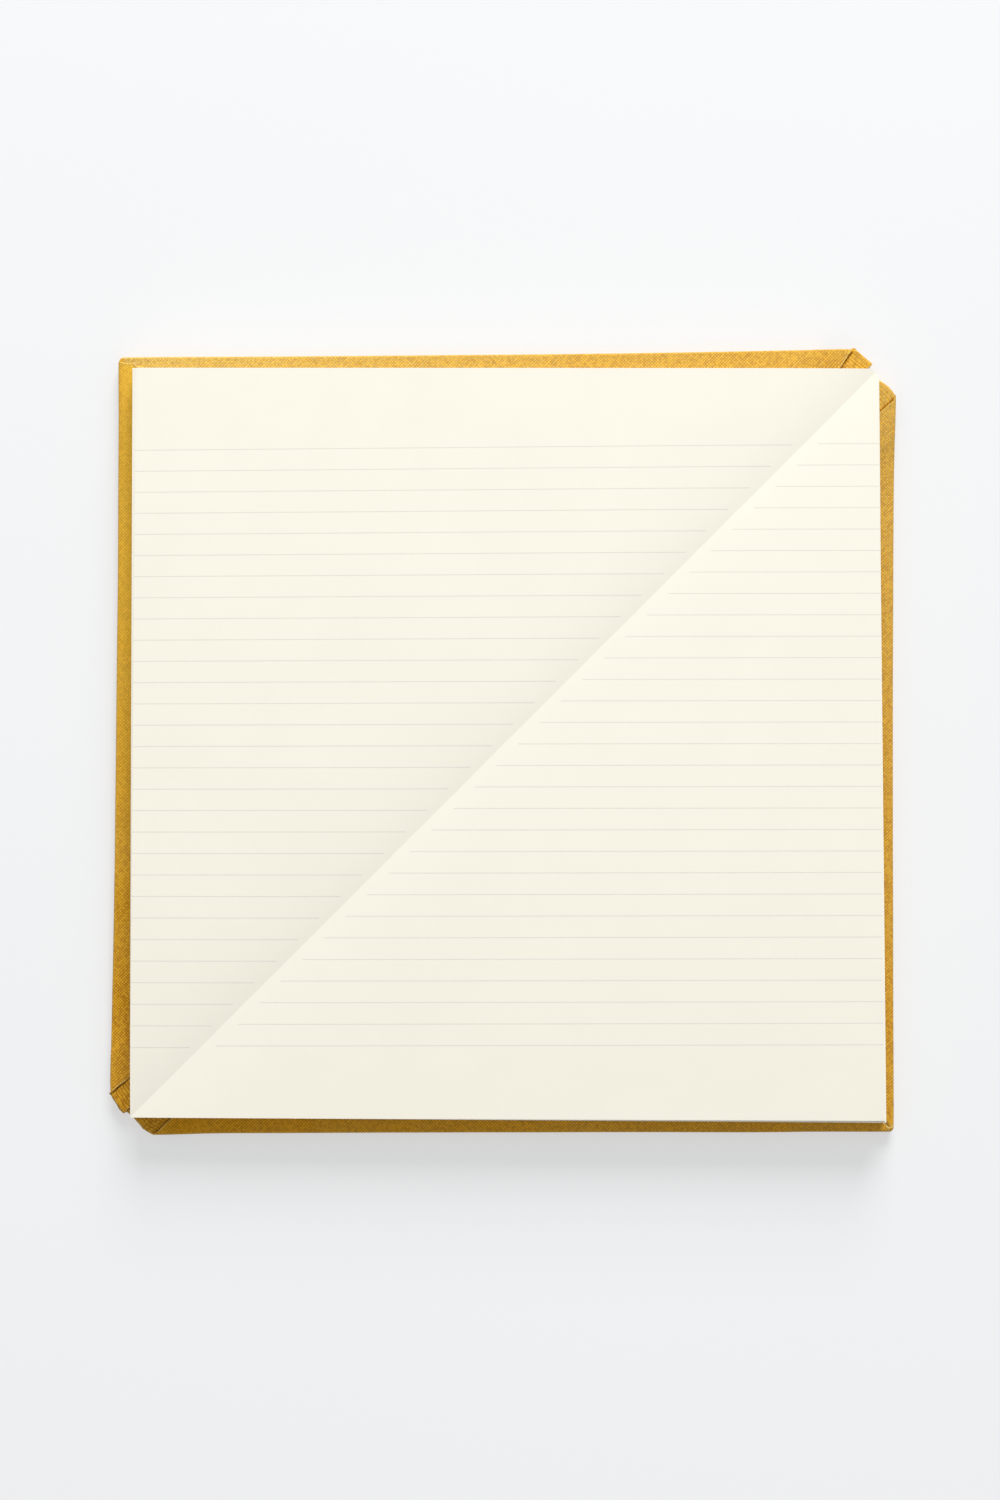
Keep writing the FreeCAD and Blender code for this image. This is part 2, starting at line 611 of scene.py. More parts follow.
@dataclass(frozen=True)
class BookClothFinish:
    """Plain-woven book cloth: thick ribs across the spine, thinner threads along it.

    rib and thread_pitch are the distances between threads on the flat cut, in millimetres,
    along the spine and across it. depth is how far the threads stand out and sway how far they
    bend aside. fuzz and patch are how much the tone varies within and between crossings, and even
    is the tone at which a place has the threads' full colour; lower tones darken towards the gap
    colour, painted shade in the weave's hollows. The lower turn-ins, which have painted light and
    shade of their own, set in where the distances across and along the spine add up to
    lower_turn. clouding is how much of the pale colour lies over all; the same colour pales rubbed
    edges and paints highlights and paleness where light falls. shade is how dark the painted
    shade in a crease is.
    """

    name: str
    thread: tuple[float, float, float]
    gap: tuple[float, float, float]
    rubbed_and_lit: tuple[float, float, float]
    leg_lighting: tuple[PaintedLegLight, ...]
    rib: float = 0.527
    thread_pitch: float = 0.505
    depth: float = 0.05
    sway: float = 0.22
    fuzz: float = 0.9
    patch: float = 0.45
    even: float = 1.05
    lower_turn: tuple[float, float] = (127.5, 131.0)
    clouding: float = 0.06
    shade: float = 0.55

    def place(self, n: Nodes, flat: bpy.types.NodeSocket) -> bpy.types.NodeSocket:
        """Sways the threads a little, so that none is quite straight.

        Args:
            n: The material's nodes.
            flat: The place on the flat cut.

        Returns:
            The swayed place.
        """
        sway = n.node("TexNoise", in_Vector=flat, in_Scale=0.3)
        sway.inputs["Detail"].default_value = 2.0
        moved = n.node("VectorMath", operation="MULTIPLY_ADD")
        n.feed(moved.inputs[0], sway.outputs["Color"])
        moved.inputs[1].default_value = (self.sway, self.sway, 0.0)
        n.feed(moved.inputs[2], flat)
        return moved.outputs[0]

    def height(
        self, n: Nodes, place: bpy.types.NodeSocket, split: bpy.types.Node
    ) -> bpy.types.NodeSocket:
        """Weaves the threads over and under each other, some thicker than others.

        Args:
            n: The material's nodes.
            place: The swayed place on the flat cut.
            split: The node that gives its t and s.

        Returns:
            The cloth's height, from 0 to about 1.
        """
        across = n.math("SINE", n.math("MULTIPLY", split.outputs[0], math.pi / self.thread_pitch))
        along = n.math("SINE", n.math("MULTIPLY", split.outputs[1], math.pi / self.rib))
        ribs = n.math("MULTIPLY_ADD", n.math("ABSOLUTE", along), 0.75, 0.25)
        threads = n.math("MULTIPLY_ADD", n.math("ABSOLUTE", across), 0.6, 0.4)
        lift = n.math("MULTIPLY", ribs, threads)
        warp = n.noise(n.stretched(place, (1.0, 0.04, 1.0)), 2.1, 2.0, 0.6)
        weft = n.noise(n.stretched(place, (0.04, 1.0, 1.0)), 2.1, 2.0, 0.6)
        is_warp = n.math("GREATER_THAN", n.math("MULTIPLY", across, along), 0.0)
        slub = n.mix(is_warp, weft, warp)
        return n.math("MULTIPLY", lift, n.math("MULTIPLY_ADD", slub, 1.5, 0.25))

    def tone(
        self,
        n: Nodes,
        flat: bpy.types.NodeSocket,
        split: bpy.types.Node,
        height: bpy.types.NodeSocket,
    ) -> bpy.types.NodeSocket:
        """Lightens and darkens the threads, with fuzz and from one crossing to the next.

        Args:
            n: The material's nodes.
            flat: The place on the flat cut.
            split: The node that gives the swayed place's t and s.
            height: The cloth's height.

        Returns:
            The tone, from 0 in the gaps to even.
        """
        fuzz = n.noise(flat, 7.0, 3.0, 0.7)
        cell = n.node("CombineXYZ")
        for axis, pitch in enumerate((self.thread_pitch, self.rib)):
            turn = n.math("DIVIDE", split.outputs[axis], pitch)
            n.feed(cell.inputs[axis], n.math("FLOOR", turn))
        stitch = n.node("TexWhiteNoise", in_Vector=cell.outputs[0]).outputs["Value"]
        # The threads' height sets the tone, so the hollows between them get painted shade.
        tone = n.math("MULTIPLY_ADD", n.math("SUBTRACT", fuzz, 0.5), self.fuzz, height)
        tone = n.math("MULTIPLY_ADD", n.math("SUBTRACT", stitch, 0.5), self.patch, tone)
        return n.span(tone, 0.0, self.even)

    def coloured_and_lit(
        self, n: Nodes, split: bpy.types.Node, tone: bpy.types.NodeSocket
    ) -> bpy.types.NodeSocket:
        """Colours the threads, with painted shade between them and the lower legs' painted tones.

        Args:
            n: The material's nodes.
            split: The node that gives the swayed place's t and s.
            tone: The threads' tone.

        Returns:
            The cloth's colour, with its painted shade and the lower legs' painted light and shade.
        """
        # Low tones take the dark gap colour: painted shade in the weave's hollows.
        woven_and_lit = n.mix(tone, rgba(self.gap), rgba(self.thread))
        outer = n.math("SUBTRACT", n.math("ABSOLUTE", split.outputs[0]), split.outputs[1])
        turned = n.span(outer, *self.lower_turn)
        # Painted tones on the lower legs' turn-ins: lighter on the left, a shade's deeper orange on
        # the right.
        for leg in self.leg_lighting:
            reach = n.span(n.math("MULTIPLY", split.outputs[0], leg.way), leg.start, leg.full)
            colour = n.mix(tone, rgba(leg.colour, leg.dim), rgba(leg.colour))
            woven_and_lit = n.mix(n.math("MULTIPLY", turned, reach), woven_and_lit, colour)
        return woven_and_lit

    def worn_and_lit(
        self, n: Nodes, flat: bpy.types.NodeSocket, woven_and_lit: bpy.types.NodeSocket
    ) -> bpy.types.NodeSocket:
        """Clouds the colour, paints shade in its creases, and pales rubbed edges and painted
        highlights.

        Args:
            n: The material's nodes.
            flat: The place on the flat cut.
            woven_and_lit: The cloth's colour before clouding, with its painted light and shade.

        Returns:
            The colour.
        """
        cloud = n.span(n.noise(flat, 0.07, 3.0, 0.6), 0.35, 0.7)
        cloudy = n.mix(n.math("MULTIPLY", cloud, self.clouding), woven_and_lit, rgba(self.rubbed_and_lit, 0.8))
        wear_and_light = n.node("Attribute", attribute_name=WEAR_AND_LIGHT).outputs["Fac"]
        # Below zero the attribute paints shade into creases, towards a darker gap colour.
        below = n.math("MAXIMUM", n.math("MULTIPLY", wear_and_light, -1.0), 0.0)
        sunk = n.math("MULTIPLY", below, self.shade)
        crease_shaded = n.mix(sunk, cloudy, rgba(self.gap, 0.5))
        # Above zero it pales rubbed edges and paints highlights on raised fold edges and lit turn-ins.
        rubbed_and_lit = n.math("MAXIMUM", wear_and_light, 0.0)
        patchy = n.math("MULTIPLY", rubbed_and_lit, n.span(n.noise(flat, 2.2, 3.0, 0.7), 0.3, 0.65))
        return n.mix(patchy, crease_shaded, rgba(self.rubbed_and_lit))

    def material(self) -> bpy.types.Material:
        """Makes the cloth's material, on the flat cut's own map.

        Returns:
            The material.
        """
        n = Nodes(self.name)
        flat = n.node("UVMap", uv_map=FLAT_MAP).outputs[0]
        place = self.place(n, flat)
        split = n.node("SeparateXYZ", in_Vector=place)
        height = self.height(n, place, split)
        woven_and_lit = self.coloured_and_lit(n, split, self.tone(n, flat, split, height))
        n.paint(self.worn_and_lit(n, flat, woven_and_lit), 0.85, 0.08)
        n.bump(n.math("MULTIPLY", height, self.depth), 0.2)
        return n.material


@dataclass(frozen=True)
class GauzeFinish:
    """Open-woven lining gauze, stiff with glue. pitch and depth are in millimetres."""

    name: str
    colour: tuple[float, float, float]
    pitch: float = 0.9
    depth: float = 0.12

    def material(self) -> bpy.types.Material:
        """Makes the gauze's material.

        Returns:
            The material.
        """
        n = Nodes(self.name)
        flat = n.node("UVMap", uv_map=FLAT_MAP).outputs[0]
        split = n.node("SeparateXYZ", in_Vector=flat)
        turn = math.pi / self.pitch
        waves = [
            n.math("ABSOLUTE", n.math("SINE", n.math("MULTIPLY", out, turn)))
            for out in split.outputs[:2]
        ]
        height = n.math("MAXIMUM", *waves)
        fuzz = n.noise(flat, 6.0, 3.0, 0.7)
        tone = n.math("MULTIPLY", height, n.span(fuzz, 0.1, 0.6))
        colour = n.mix(tone, rgba(self.colour, 0.6), rgba(self.colour))
        n.paint(colour, 0.9)
        n.bump(n.math("MULTIPLY", height, self.depth), 0.8)
        return n.material


@dataclass(frozen=True)
class BoardFinish:
    """Grey binder's board: pulp specks, and layers that show at its edges."""

    name: str
    colour: tuple[float, float, float]
    depth: float = 0.05

    def material(self) -> bpy.types.Material:
        """Makes the board's material.

        Returns:
            The material.
        """
        n = Nodes(self.name)
        place = n.node("TexCoord").outputs["Object"]
        pulp = n.noise(place, 700.0, 5.0, 0.7)
        layers = n.noise(n.stretched(place, (0.05, 0.05, 1.0)), 4200.0, 2.0, 0.5)
        tone = n.math("ADD", n.math("MULTIPLY", pulp, 0.6), n.math("MULTIPLY", layers, 0.4))
        colour = n.mix(n.span(tone, 0.3, 0.7), rgba(self.colour, 0.72), rgba(self.colour, 1.15))
        n.paint(colour, 0.92)
        n.bump(n.math("MULTIPLY", tone, self.depth), 0.7)
        return n.material


@dataclass(frozen=True)
class ThreadFinish:
    """Waxed linen thread, or a frayed cloth thread, with fine fibres on it."""

    name: str
    colour: tuple[float, float, float]
    depth: float = 0.03

    def material(self) -> bpy.types.Material:
        """Makes the thread's material.

        Returns:
            The material.
        """
        n = Nodes(self.name)
        place = n.node("TexCoord").outputs["Object"]
        fibre = n.noise(place, 5200.0, 3.0, 0.6)
        colour = n.mix(n.span(fibre, 0.3, 0.7), rgba(self.colour, 0.75), rgba(self.colour, 1.1))
        n.paint(colour, 0.7)
        n.bump(n.math("MULTIPLY", fibre, self.depth), 0.6)
        return n.material


@dataclass(frozen=True)
class FloorFinish:
    """A plain pale tabletop, seen partly as a bright backdrop so that its shadows stay pale.

    share is how much of what the camera sees is the backdrop.
    """

    name: str
    colour: tuple[float, float, float]
    backdrop: tuple[float, float, float]
    share: float = 0.57

    def material(self) -> bpy.types.Material:
        """Makes the floor's material.

        Returns:
            The material.
        """
        n = Nodes(self.name)
        place = n.node("TexCoord").outputs["Object"]
        cloud = n.span(n.noise(place, 3.0, 2.0, 0.5), 0.3, 0.7)
        colour = n.mix(cloud, rgba(self.colour, 0.995), rgba(self.colour, 1.005))
        n.paint(colour, 0.7, 0.1)
        path = n.node("LightPath")
        seen = n.math("MULTIPLY", path.outputs["Is Camera Ray"], self.share)
        glow = n.node("Emission", in_Color=rgba(self.backdrop)).outputs[0]
        both = n.node("MixShader")
        n.feed(both.inputs[0], seen)
        n.feed(both.inputs[1], n.shader.outputs[0])
        n.feed(both.inputs[2], glow)
        n.feed(n.tree.nodes["Material Output"].inputs["Surface"], both.outputs[0])
        return n.material


class Finishes:
    """Every material of the notebook, made once."""

    def __init__(self) -> None:
        """Makes the materials."""
        self.page = PaperFinish("page_paper", (0.905, 0.868, 0.75)).material()
        self.rule = InkFinish("page_rule", (0.745, 0.717, 0.635)).material()
        self.endpaper = PaperFinish("endpaper", (0.89, 0.865, 0.775), tooth=0.02).material()
        self.cloth = BookClothFinish(
            "mustard_book_cloth",
            thread=(0.77, 0.41, 0.026),
            # The gap colour is painted shade between the threads.
            gap=(0.31, 0.1, 0.002),
            # Pale colour of rubbed edges, also used for painted highlights and painted paleness.
            rubbed_and_lit=(0.7, 0.64, 0.26),
            # Painted light: the left lower leg lighter, the right lower leg a deeper orange for its
            # shade.
            leg_lighting=(
                PaintedLegLight(-1.0, 25.0, 90.0, (0.9, 0.515, 0.05), 0.66),
                PaintedLegLight(1.0, 2.0, 14.0, (0.86, 0.4, 0.014), 0.42),
            ),
        ).material()
        self.fray = ThreadFinish("frayed_cloth_thread", (0.84, 0.6, 0.22)).material()
        self.gauze = GauzeFinish("lining_gauze", (0.78, 0.74, 0.64)).material()
        self.thread = ThreadFinish("sewing_thread", (0.82, 0.79, 0.70)).material()
        self.board = BoardFinish("greyboard", (0.33, 0.30, 0.26)).material()
        self.floor = FloorFinish("tabletop", (0.87, 0.875, 0.88), (0.89, 0.895, 0.9)).material()


# ---------------------------------------------------------------- the case's plan


@dataclass
class CasePlan:
    """Plan and levels of the open case, read from the CAD nodes, in millimetres.

    stand is how far a cover's legs stand out past the CAD's straight ones, for a board cut and
    covered by hand: distances from the spine's middle, and how far out the leg is there.
    """

    stand: tuple[tuple[float, float], ...] = ((0.0, 0.0), (130.0, 0.0))
    corner_radius: float = 2.0
    cloth: float = 0.4
    end: float = field(init=False)
    cover_edge: float = field(init=False)
    cover_top: float = field(init=False)
    board_top: float = field(init=False)
    groove: float = field(init=False)
    spine_top: float = field(init=False)
    slope: float = field(init=False)
    peak: float = field(init=False)
    leaf_reach: float = field(init=False)
    leaf_tip: float = field(init=False)
    block_base: float = field(init=False)
    block_top: float = field(init=False)

    def __post_init__(self) -> None:
        """Reads the sizes from the CAD nodes."""
        low, high = node_extent("right_cover_cloth")
        spine_high = node_extent("spine_board")[1]
        leaf_low, leaf_high = node_extent("text_block")
        self.cover_edge, self.cover_top = low[0], high[2]
        self.board_top = node_extent("right_board")[1][2]
        self.groove = spine_high[2]
        self.spine_top = self.groove + self.cloth
        self.end = spine_high[1] + self.cloth
        # The leg's slope and its sharp corner depend on each other, so they close in by turns.
        self.slope = 1.0
        for _ in range(6):
            stretch = math.hypot(1.0, self.slope)
            corner = high[0] + self.corner_radius * (stretch / self.slope - 1.0)
            self.slope = high[1] / (corner - self.cover_edge)
        self.peak = self.slope * corner
        self.leaf_reach, self.leaf_tip = leaf_high[0], leaf_high[1]
        self.block_base, self.block_top = leaf_low[2], leaf_high[2]

    @property
    def stretch(self) -> float:
        """How much further along s a step square to a leg goes."""
        return math.hypot(1.0, self.slope)

    @property
    def outward(self) -> np.ndarray:
        """The direction square to a leg, away from the case, where t and s are positive."""
        return np.array([self.slope, 1.0]) / self.stretch

    def leg(self, t: float, inset: float = 0.0) -> float:
        """s of a leg's edge at a distance from the spine, moved in by inset."""
        return self.peak - self.slope * t - self.stretch * (inset - self.stands(t))

    def stands(self, t: float) -> float:
        """How far out a leg stands at the distance t from the spine's middle."""
        places, amounts = zip(*self.stand)
        return float(np.interp(t, places, amounts))

    def tip(self, inset: float) -> float:
        """t of the sharp right-angled corner of the outline moved in by inset."""
        return (self.peak - self.stretch * (inset - self.stand[-1][1])) / self.slope

    def inset_of(self, t: float, s: float) -> float:
        """How far a point lies inside the leg's edge."""
        return (self.peak - self.slope * abs(t) - abs(s)) / self.stretch + self.stands(abs(t))


# ---------------------------------------------------------------- the cloth of the case


@dataclass(frozen=True)
class EndFold:
    """How the cloth is turned in at one end of the spine, on one side of it, in millimetres.

    The outline gives distances from the spine's middle and how far the cloth reaches past the
    spine's end there. The pleat is the doubled part beside the middle, and the flap is the end of
    the leg's turn-in, which lies on top of it. Their edges run nearly along the spine: the
    flap's is given by how far in from the outer edge and how far from the middle it is. stand is
    how much further out than the cover's plan the leg itself lies.
    """

    outline: tuple[tuple[float, float], ...]
    pleat: float
    flap: tuple[tuple[float, float], ...]
    pleat_rise: float = 0.3
    flap_rise: float = 0.3
    stand: float = 0.0


@dataclass(frozen=True)
class Station:
    """One place along the case's edge near the spine.

    under and height place it on the underside, top on the turn-ins. level is 0 beside the
    spine's middle, 1 on the pleat and 2 on the flap, and edge says which edge it belongs to.
    wear_and_light is the cloth's rubbing there, with a painted highlight on a raised fold edge;
    below zero it is how much painted shade the crease at a fold's foot gets.
    """

    under: float
    height: float
    top: float
    level: float
    edge: str = ""
    offset: float = 0.0
    wear_and_light: float = 0.0


# Insets of the cloth's points on the turn-in and on the underside, in millimetres.
TOP_INSETS = (15.0, 11.0, 8.0, 6.6, 5.7, 5.0, 4.4, 3.8, 3.1, 2.4, 1.8, 1.3, 0.9, 0.6)
UNDER_INSETS = (0.55, 0.9, 1.35, 2.2, 3.6, 6.0, 10.0)

# The lap at a right-angled corner. The seam gives insets and how far along the leg the lap ends
# there. Each step has its offset from the seam, its share of the lap's rise, and its wear: above
# zero the seam's rubbed ridge with a painted highlight, below zero painted shade in its crease.
LAP_SEAM = ((0.0, 1.1), (1.45, 1.45), (2.85, 1.55), (3.75, 1.5), (4.2, 1.9), (6.6, 2.6))
LAP_STEPS = (
    (-0.14, -1.3, -1.0), (-0.03, -0.4, -0.9), (0.02, 0.8, 0.3), (0.1, 1.15, 0.8), (0.28, 1.0, 0.2),
    (0.8, 1.0, 0.0), (2.0, 0.95, 0.0), (4.0, 0.8, 0.0), (7.0, 0.5, 0.0), (10.0, 0.2, 0.0),
    (13.0, -0.15, 0.0),
)


@dataclass
class CaseCloth:
    """Book cloth of one half of the case: outside, edges, turn-ins and folds.

    painted_light gives how pale each leg's turn-in is painted, at the spine and at the
    right-angled corner, standing in for the light that falls on it. The turn-in's height at
    lip_inset is that of the edge's upper lip. wave and lump are how far the legs wander and how
    high the turn-ins rise and fall, and the wander runs out over settles.
    flap_top is the least height of the flaps beside the spine, and straight_from is where a leg
    leaves them. At a tucked corner the turn-ins rise by tuck_rise beside their meeting and sink
    by tuck_depth in it.
    """

    side: Side
    plan: CasePlan
    finishes: Finishes
    fold: CornerFold
    ends: dict[End, EndFold]
    painted_light: dict[End, tuple[float, float]]
    turn_in: float = TURN_IN
    lip_inset: float = 0.4
    edge_radius: float = 0.5
    edge_length: float = 3.2
    corner_radius: float = 1.1
    lap_rise: float = 0.28
    wave: float = 0.04
    lump: float = 0.05
    settles: tuple[float, float] = (104.0, 116.0)
    tuck_rise: float = 0.14
    tuck_depth: float = 0.42
    flap_top: float = 3.05
    straight_from: float = 14.2
    leg_steps: int = 26
    arc_steps: int = 7
    fill_steps: int = 8

    def stations(self) -> list[Station]:
        """Lists the places along the edge beside the spine.

        Returns:
            The stations, from the spine's middle to where the leg runs straight.
        """
        g = self.plan.groove
        c = self.plan.cover_edge
        return [
            Station(0.0, 0.0, 0.0, 0.0),
            Station(0.6, 0.0, 0.6, 0.0),
            Station(1.2, 0.0, 1.2, 0.0),
            # At the pleat's and flap's edges, values below zero paint shade into the crease at the
            # step's foot, and values above zero pale its raised rim as a painted highlight.
            Station(1.6, 0.0, 0.0, 0.0, "pleat", -0.4),
            Station(1.75, 0.0, 0.0, -0.3, "pleat", -0.16, -0.8),
            Station(1.85, 0.0, 0.0, -0.4, "pleat", 0.0, -1.0),
            Station(1.95, 0.0, 0.0, 0.6, "pleat", 0.02, -0.5),
            Station(2.05, 0.0, 0.0, 1.1, "pleat", 0.1, 0.7),
            Station(2.35, 0.0, 0.0, 1.0, "pleat", 0.36),
            Station(3.2, 0.0, 3.2, 1.0),
            Station(4.2, 0.0, 4.2, 1.0),
            Station(5.2, 0.0, 5.2, 1.0),
            Station(5.9, 0.0, 0.0, 1.0, "flap", -0.5),
            Station(6.2, 0.0, 0.0, 0.7, "flap", -0.22, -0.7),
            Station(6.5, 0.06, 0.0, 0.45, "flap", -0.02, -1.0),
            Station(6.68, 0.15, 0.0, 1.55, "flap", 0.0, -0.6),
            Station(6.8, 0.3, 0.0, 2.16, "flap", 0.1, 0.85),
            Station(6.94, 0.5, 0.0, 2.05, "flap", 0.38),
            Station(7.0, 0.8, 7.9, 2.0),
            Station(7.0, g - 0.7, 8.3, 2.0),
            Station(7.08, g - 0.38, 8.6, 2.0),
            Station(7.3, g - 0.12, 8.9, 2.0),
            Station(7.7, g, 9.3, 2.0),
            Station(8.6, g, 9.8, 2.0),
            Station(9.6, g, 10.3, 2.0),
            Station(10.6, g, 10.8, 2.0),
            Station(c - HINGE_WIDTH, g, c - HINGE_WIDTH, 2.0),
            Station(c - 0.52, g, c - 0.52, 2.0),
            Station(c - 0.34, g - 0.04, c - 0.34, 2.0),
            Station(c - 0.12, g - 0.2, c - 0.15, 2.0),
            Station(c, g - 0.6, c, 2.0),
            Station(c, 0.8, c + 0.1, 2.0),
            Station(c + 0.06, 0.5, c + 0.22, 2.0),
            Station(c + 0.23, 0.23, c + 0.38, 2.0),
            Station(c + 0.5, 0.06, c + 0.6, 2.0),
            Station(c + 0.8, 0.0, c + 0.85, 2.0),
            Station(c + 1.4, 0.0, c + 1.4, 2.0),
        ]

    def outline(self, t: float, end: End) -> float:
        """s of the cloth's outer edge at a distance from the spine's middle.

        Args:
            t: Distance from the spine's middle.
            end: Which end of the spine.

        Returns:
            The distance along the spine, without its sign.
        """
        shape = np.array(self.ends[end].outline)
        across = self.plan.end + float(np.interp(t, shape[:, 0], shape[:, 1]))
        seed = self.side.value * 1.3 + end.value * 0.7
        waves = self.wave * ripple(t, seed) * ramp(t, 10.0, 20.0)
        waves += self.ends[end].stand * ROOT2 * ramp(t, 12.0, 30.0)
        leg = self.plan.leg(t) + waves * (1.0 - ramp(t, *self.settles))
        # The lower of the two lines, with their crossing rounded off.
        gap = across - leg
        soft = 0.1
        return 0.5 * (across + leg - math.sqrt(gap * gap + soft * soft))

    def top_place(self, station: Station, end: End, inset: float) -> float:
        """t of a station on the turn-ins, after the folds' own edges.

        Args:
            station: The station.
            end: Which end of the spine.
            inset: How far in from the outer edge.

        Returns:
            The distance from the spine's middle.
        """
        fold = self.ends[end]
        edge = np.array(fold.flap)
        flap = float(np.interp(inset, edge[:, 0], edge[:, 1]))
        edges = {"pleat": fold.pleat, "flap": flap}
        if station.edge:
            return edges[station.edge] + station.offset
        # Plain places on the turn-ins, and where this end's own folds put them.
        return float(
            np.interp(
                station.top,
                [0.0, 1.95, 2.4, 5.8, 7.1, 11.0, 200.0],
                [0.0, fold.pleat, fold.pleat + 0.5, flap - 0.6, flap + 0.55, 11.0, 200.0],
            )
        )

    def top_height(self, t: float, level: float, end: End, inset: float) -> float:
        """z of the turned-in cloth.

        Args:
            t: Distance from the spine's middle.
            level: The station's level.
            end: Which end of the spine.
            inset: How far in from the outer edge.

        Returns:
            The height of its upper face.
        """
        fold, plan = self.ends[end], self.plan
        low = plan.spine_top
        pleat = low + fold.pleat_rise
        flap = pleat + fold.flap_rise
        settled = 1.0 - ramp(inset, 2.6, 5.2)
        pleat = low + (pleat - low) * (1.0 - ramp(inset, 3.0, 7.0))
        flap = max(plan.cover_top, self.flap_top) + (flap - plan.cover_top) * settled
        flap += (plan.cover_top - flap) * ramp(t, 9.0, 22.0)
        if level <= 1.0:
            z = low + (pleat - low) * level
        else:
            z = pleat + (flap - pleat) * (level - 1.0)
        return z

    def profile(self, top: Callable[[float], float], under: float) -> list[tuple]:
        """The cloth's path from its inner edge over the board's edge to the underside.

        Args:
            top: Height of the turn-in at an inset.
            under: Height of the underside.

        Returns:
            For each point its inset, height, how far up it is from 0 to 1, how far past the
            outline it lies once the cloth is flat, and its wear.
        """
        lip = top(self.lip_inset)
        r = min(self.edge_radius, (lip - under) / 2.05)
        wall = lip - under - 2.0 * r
        quarter = math.pi * r / 2.0
        pace = (self.edge_length + r) / (2 * quarter + wall)
        points = []
        # The turn-in, from its inner edge outwards.
        for inset in TOP_INSETS:
            inset *= self.turn_in / TURN_IN if inset > 8.0 else 1.0
            points.append((inset, top(inset), 1.0, self.edge_length + inset - r, 0.0))
        # Round the upper lip, down the edge and round the lower one.
        for angle in (75, 55, 35, 15):
            a = math.radians(angle)
            z = lip - r * (1 - math.sin(a))
            gone = (quarter + wall + r * a) * pace - r
            points.append((r * (1 - math.cos(a)), z, (z - under) / (lip - under), gone, 0.16))
        gone = (quarter + wall) * pace - r
        points.append((0.0, lip - r, (lip - r - under) / (lip - under), gone, 0.1))
        points.append((0.0, under + r, r / (lip - under), quarter * pace - r, 0.12))
        for angle in (-25, -50, -75):
            a = math.radians(angle)
            z = under + r * (1 + math.sin(a))
            gone = (quarter + r * a) * pace - r
            points.append((r * (1 - math.cos(a)), z, (z - under) / (lip - under), gone, 0.4))
        # Back in under the board.
        for inset in UNDER_INSETS:
            points.append((inset, under, 0.0, -inset, 0.0))
        return points

    def worn_and_lit(self, wear_and_light: float, up: float, end: End, t: float) -> float:
        """The cloth's rubbing with its painted highlights and crease shade, or the turn-in's painted
        paleness where that is more.

        Args:
            wear_and_light: The edge's rubbing and painted highlight there, below zero the painted
                crease shade.
            up: How far up the edge it is, from 0 to 1.
            end: Which end of the spine.
            t: Distance from the spine's middle.

        Returns:
            The rubbing and painted light, below zero the painted shade in a crease.
        """
        if wear_and_light < 0.0:
            return wear_and_light
        # The turn-in is painted paler, standing in for the light that falls on it.
        lit = float(np.interp(t, [0.0, self.plan.tip(0.0)], self.painted_light[end]))
        return max(wear_and_light, lit * ramp(up, 0.4, 0.9))

    def station_height(self, station: Station, end: End, inset: float) -> float:
        """z of the turned-in cloth at a station, its steps eased in from the outer edge.

        Args:
            station: The station.
            end: Which end of the spine.
            inset: How far in from the outer edge.

        Returns:
            The height of its upper face.
        """
        level = station.level
        if station.edge:
            pleat = station.edge == "pleat"
            plain = float(level > 0.5) if pleat else 1.0 + float(level > 1.5)
            level = plain + (level - plain) * ramp(inset, 0.3, 1.0)
        return self.top_height(self.top_place(station, end, inset), level, end, inset)

    def near_rows(self, end: End) -> list[list[tuple]]:
        """Works out the rows beside the spine.

        Args:
            end: Which end of the spine.

        Returns:
            Rows of (t, s, z, flat t, flat s, wear), one for each station.
        """
        plan, rows = self.plan, []
        for station in self.stations():
            top = partial(self.station_height, station, end)
            on_leg = station.level > 1.5
            away = plan.outward if on_leg else np.array([0.0, 1.0])
            row = []
            for inset, z, up, gone, wear_and_light in self.profile(top, station.height):
                over = up
                if station.level == 2.0 and up < 1.0:
                    over = (z - plan.spine_top) / (top(self.lip_inset) - plan.spine_top)
                place = self.top_place(station, end, inset)
                t = station.under + (place - station.under) * ease(over)
                s = self.outline(t, end) - plan.stretch * inset
                flat = np.array([t, s])
                if up >= 1.0:
                    turned = plan.inset_of(t, s) if on_leg else plan.end - s
                    flat = flat + away * (turned + gone)
                    wear_and_light = station.wear_and_light
                elif up > 0.0:
                    flat = np.array([t, self.outline(t, end)]) + away * gone
                row.append((t, s, z, flat[0], flat[1], self.worn_and_lit(wear_and_light, up, end, t)))
            rows.append(row)
        return rows

    def leg_height(self, lump: float, away: float, inset: float) -> float:
        """z of the turned-in cloth along a leg.

        Args:
            lump: How far the turn-in's outer part rises there.
            away: Distance from the right-angled corner.
            inset: How far in from the outer edge.

        Returns:
            The height of its upper face.
        """
        z = self.plan.cover_top + lump * (1.0 - ramp(inset, 3.0, 4.4))
        if self.fold is CornerFold.TUCKED and inset > 0.9:
            z += self.tuck_rise * math.exp(-((away - 0.9) / 0.6) ** 2)
            z -= self.tuck_depth * math.exp(-((away / 0.22) ** 2))
        return z

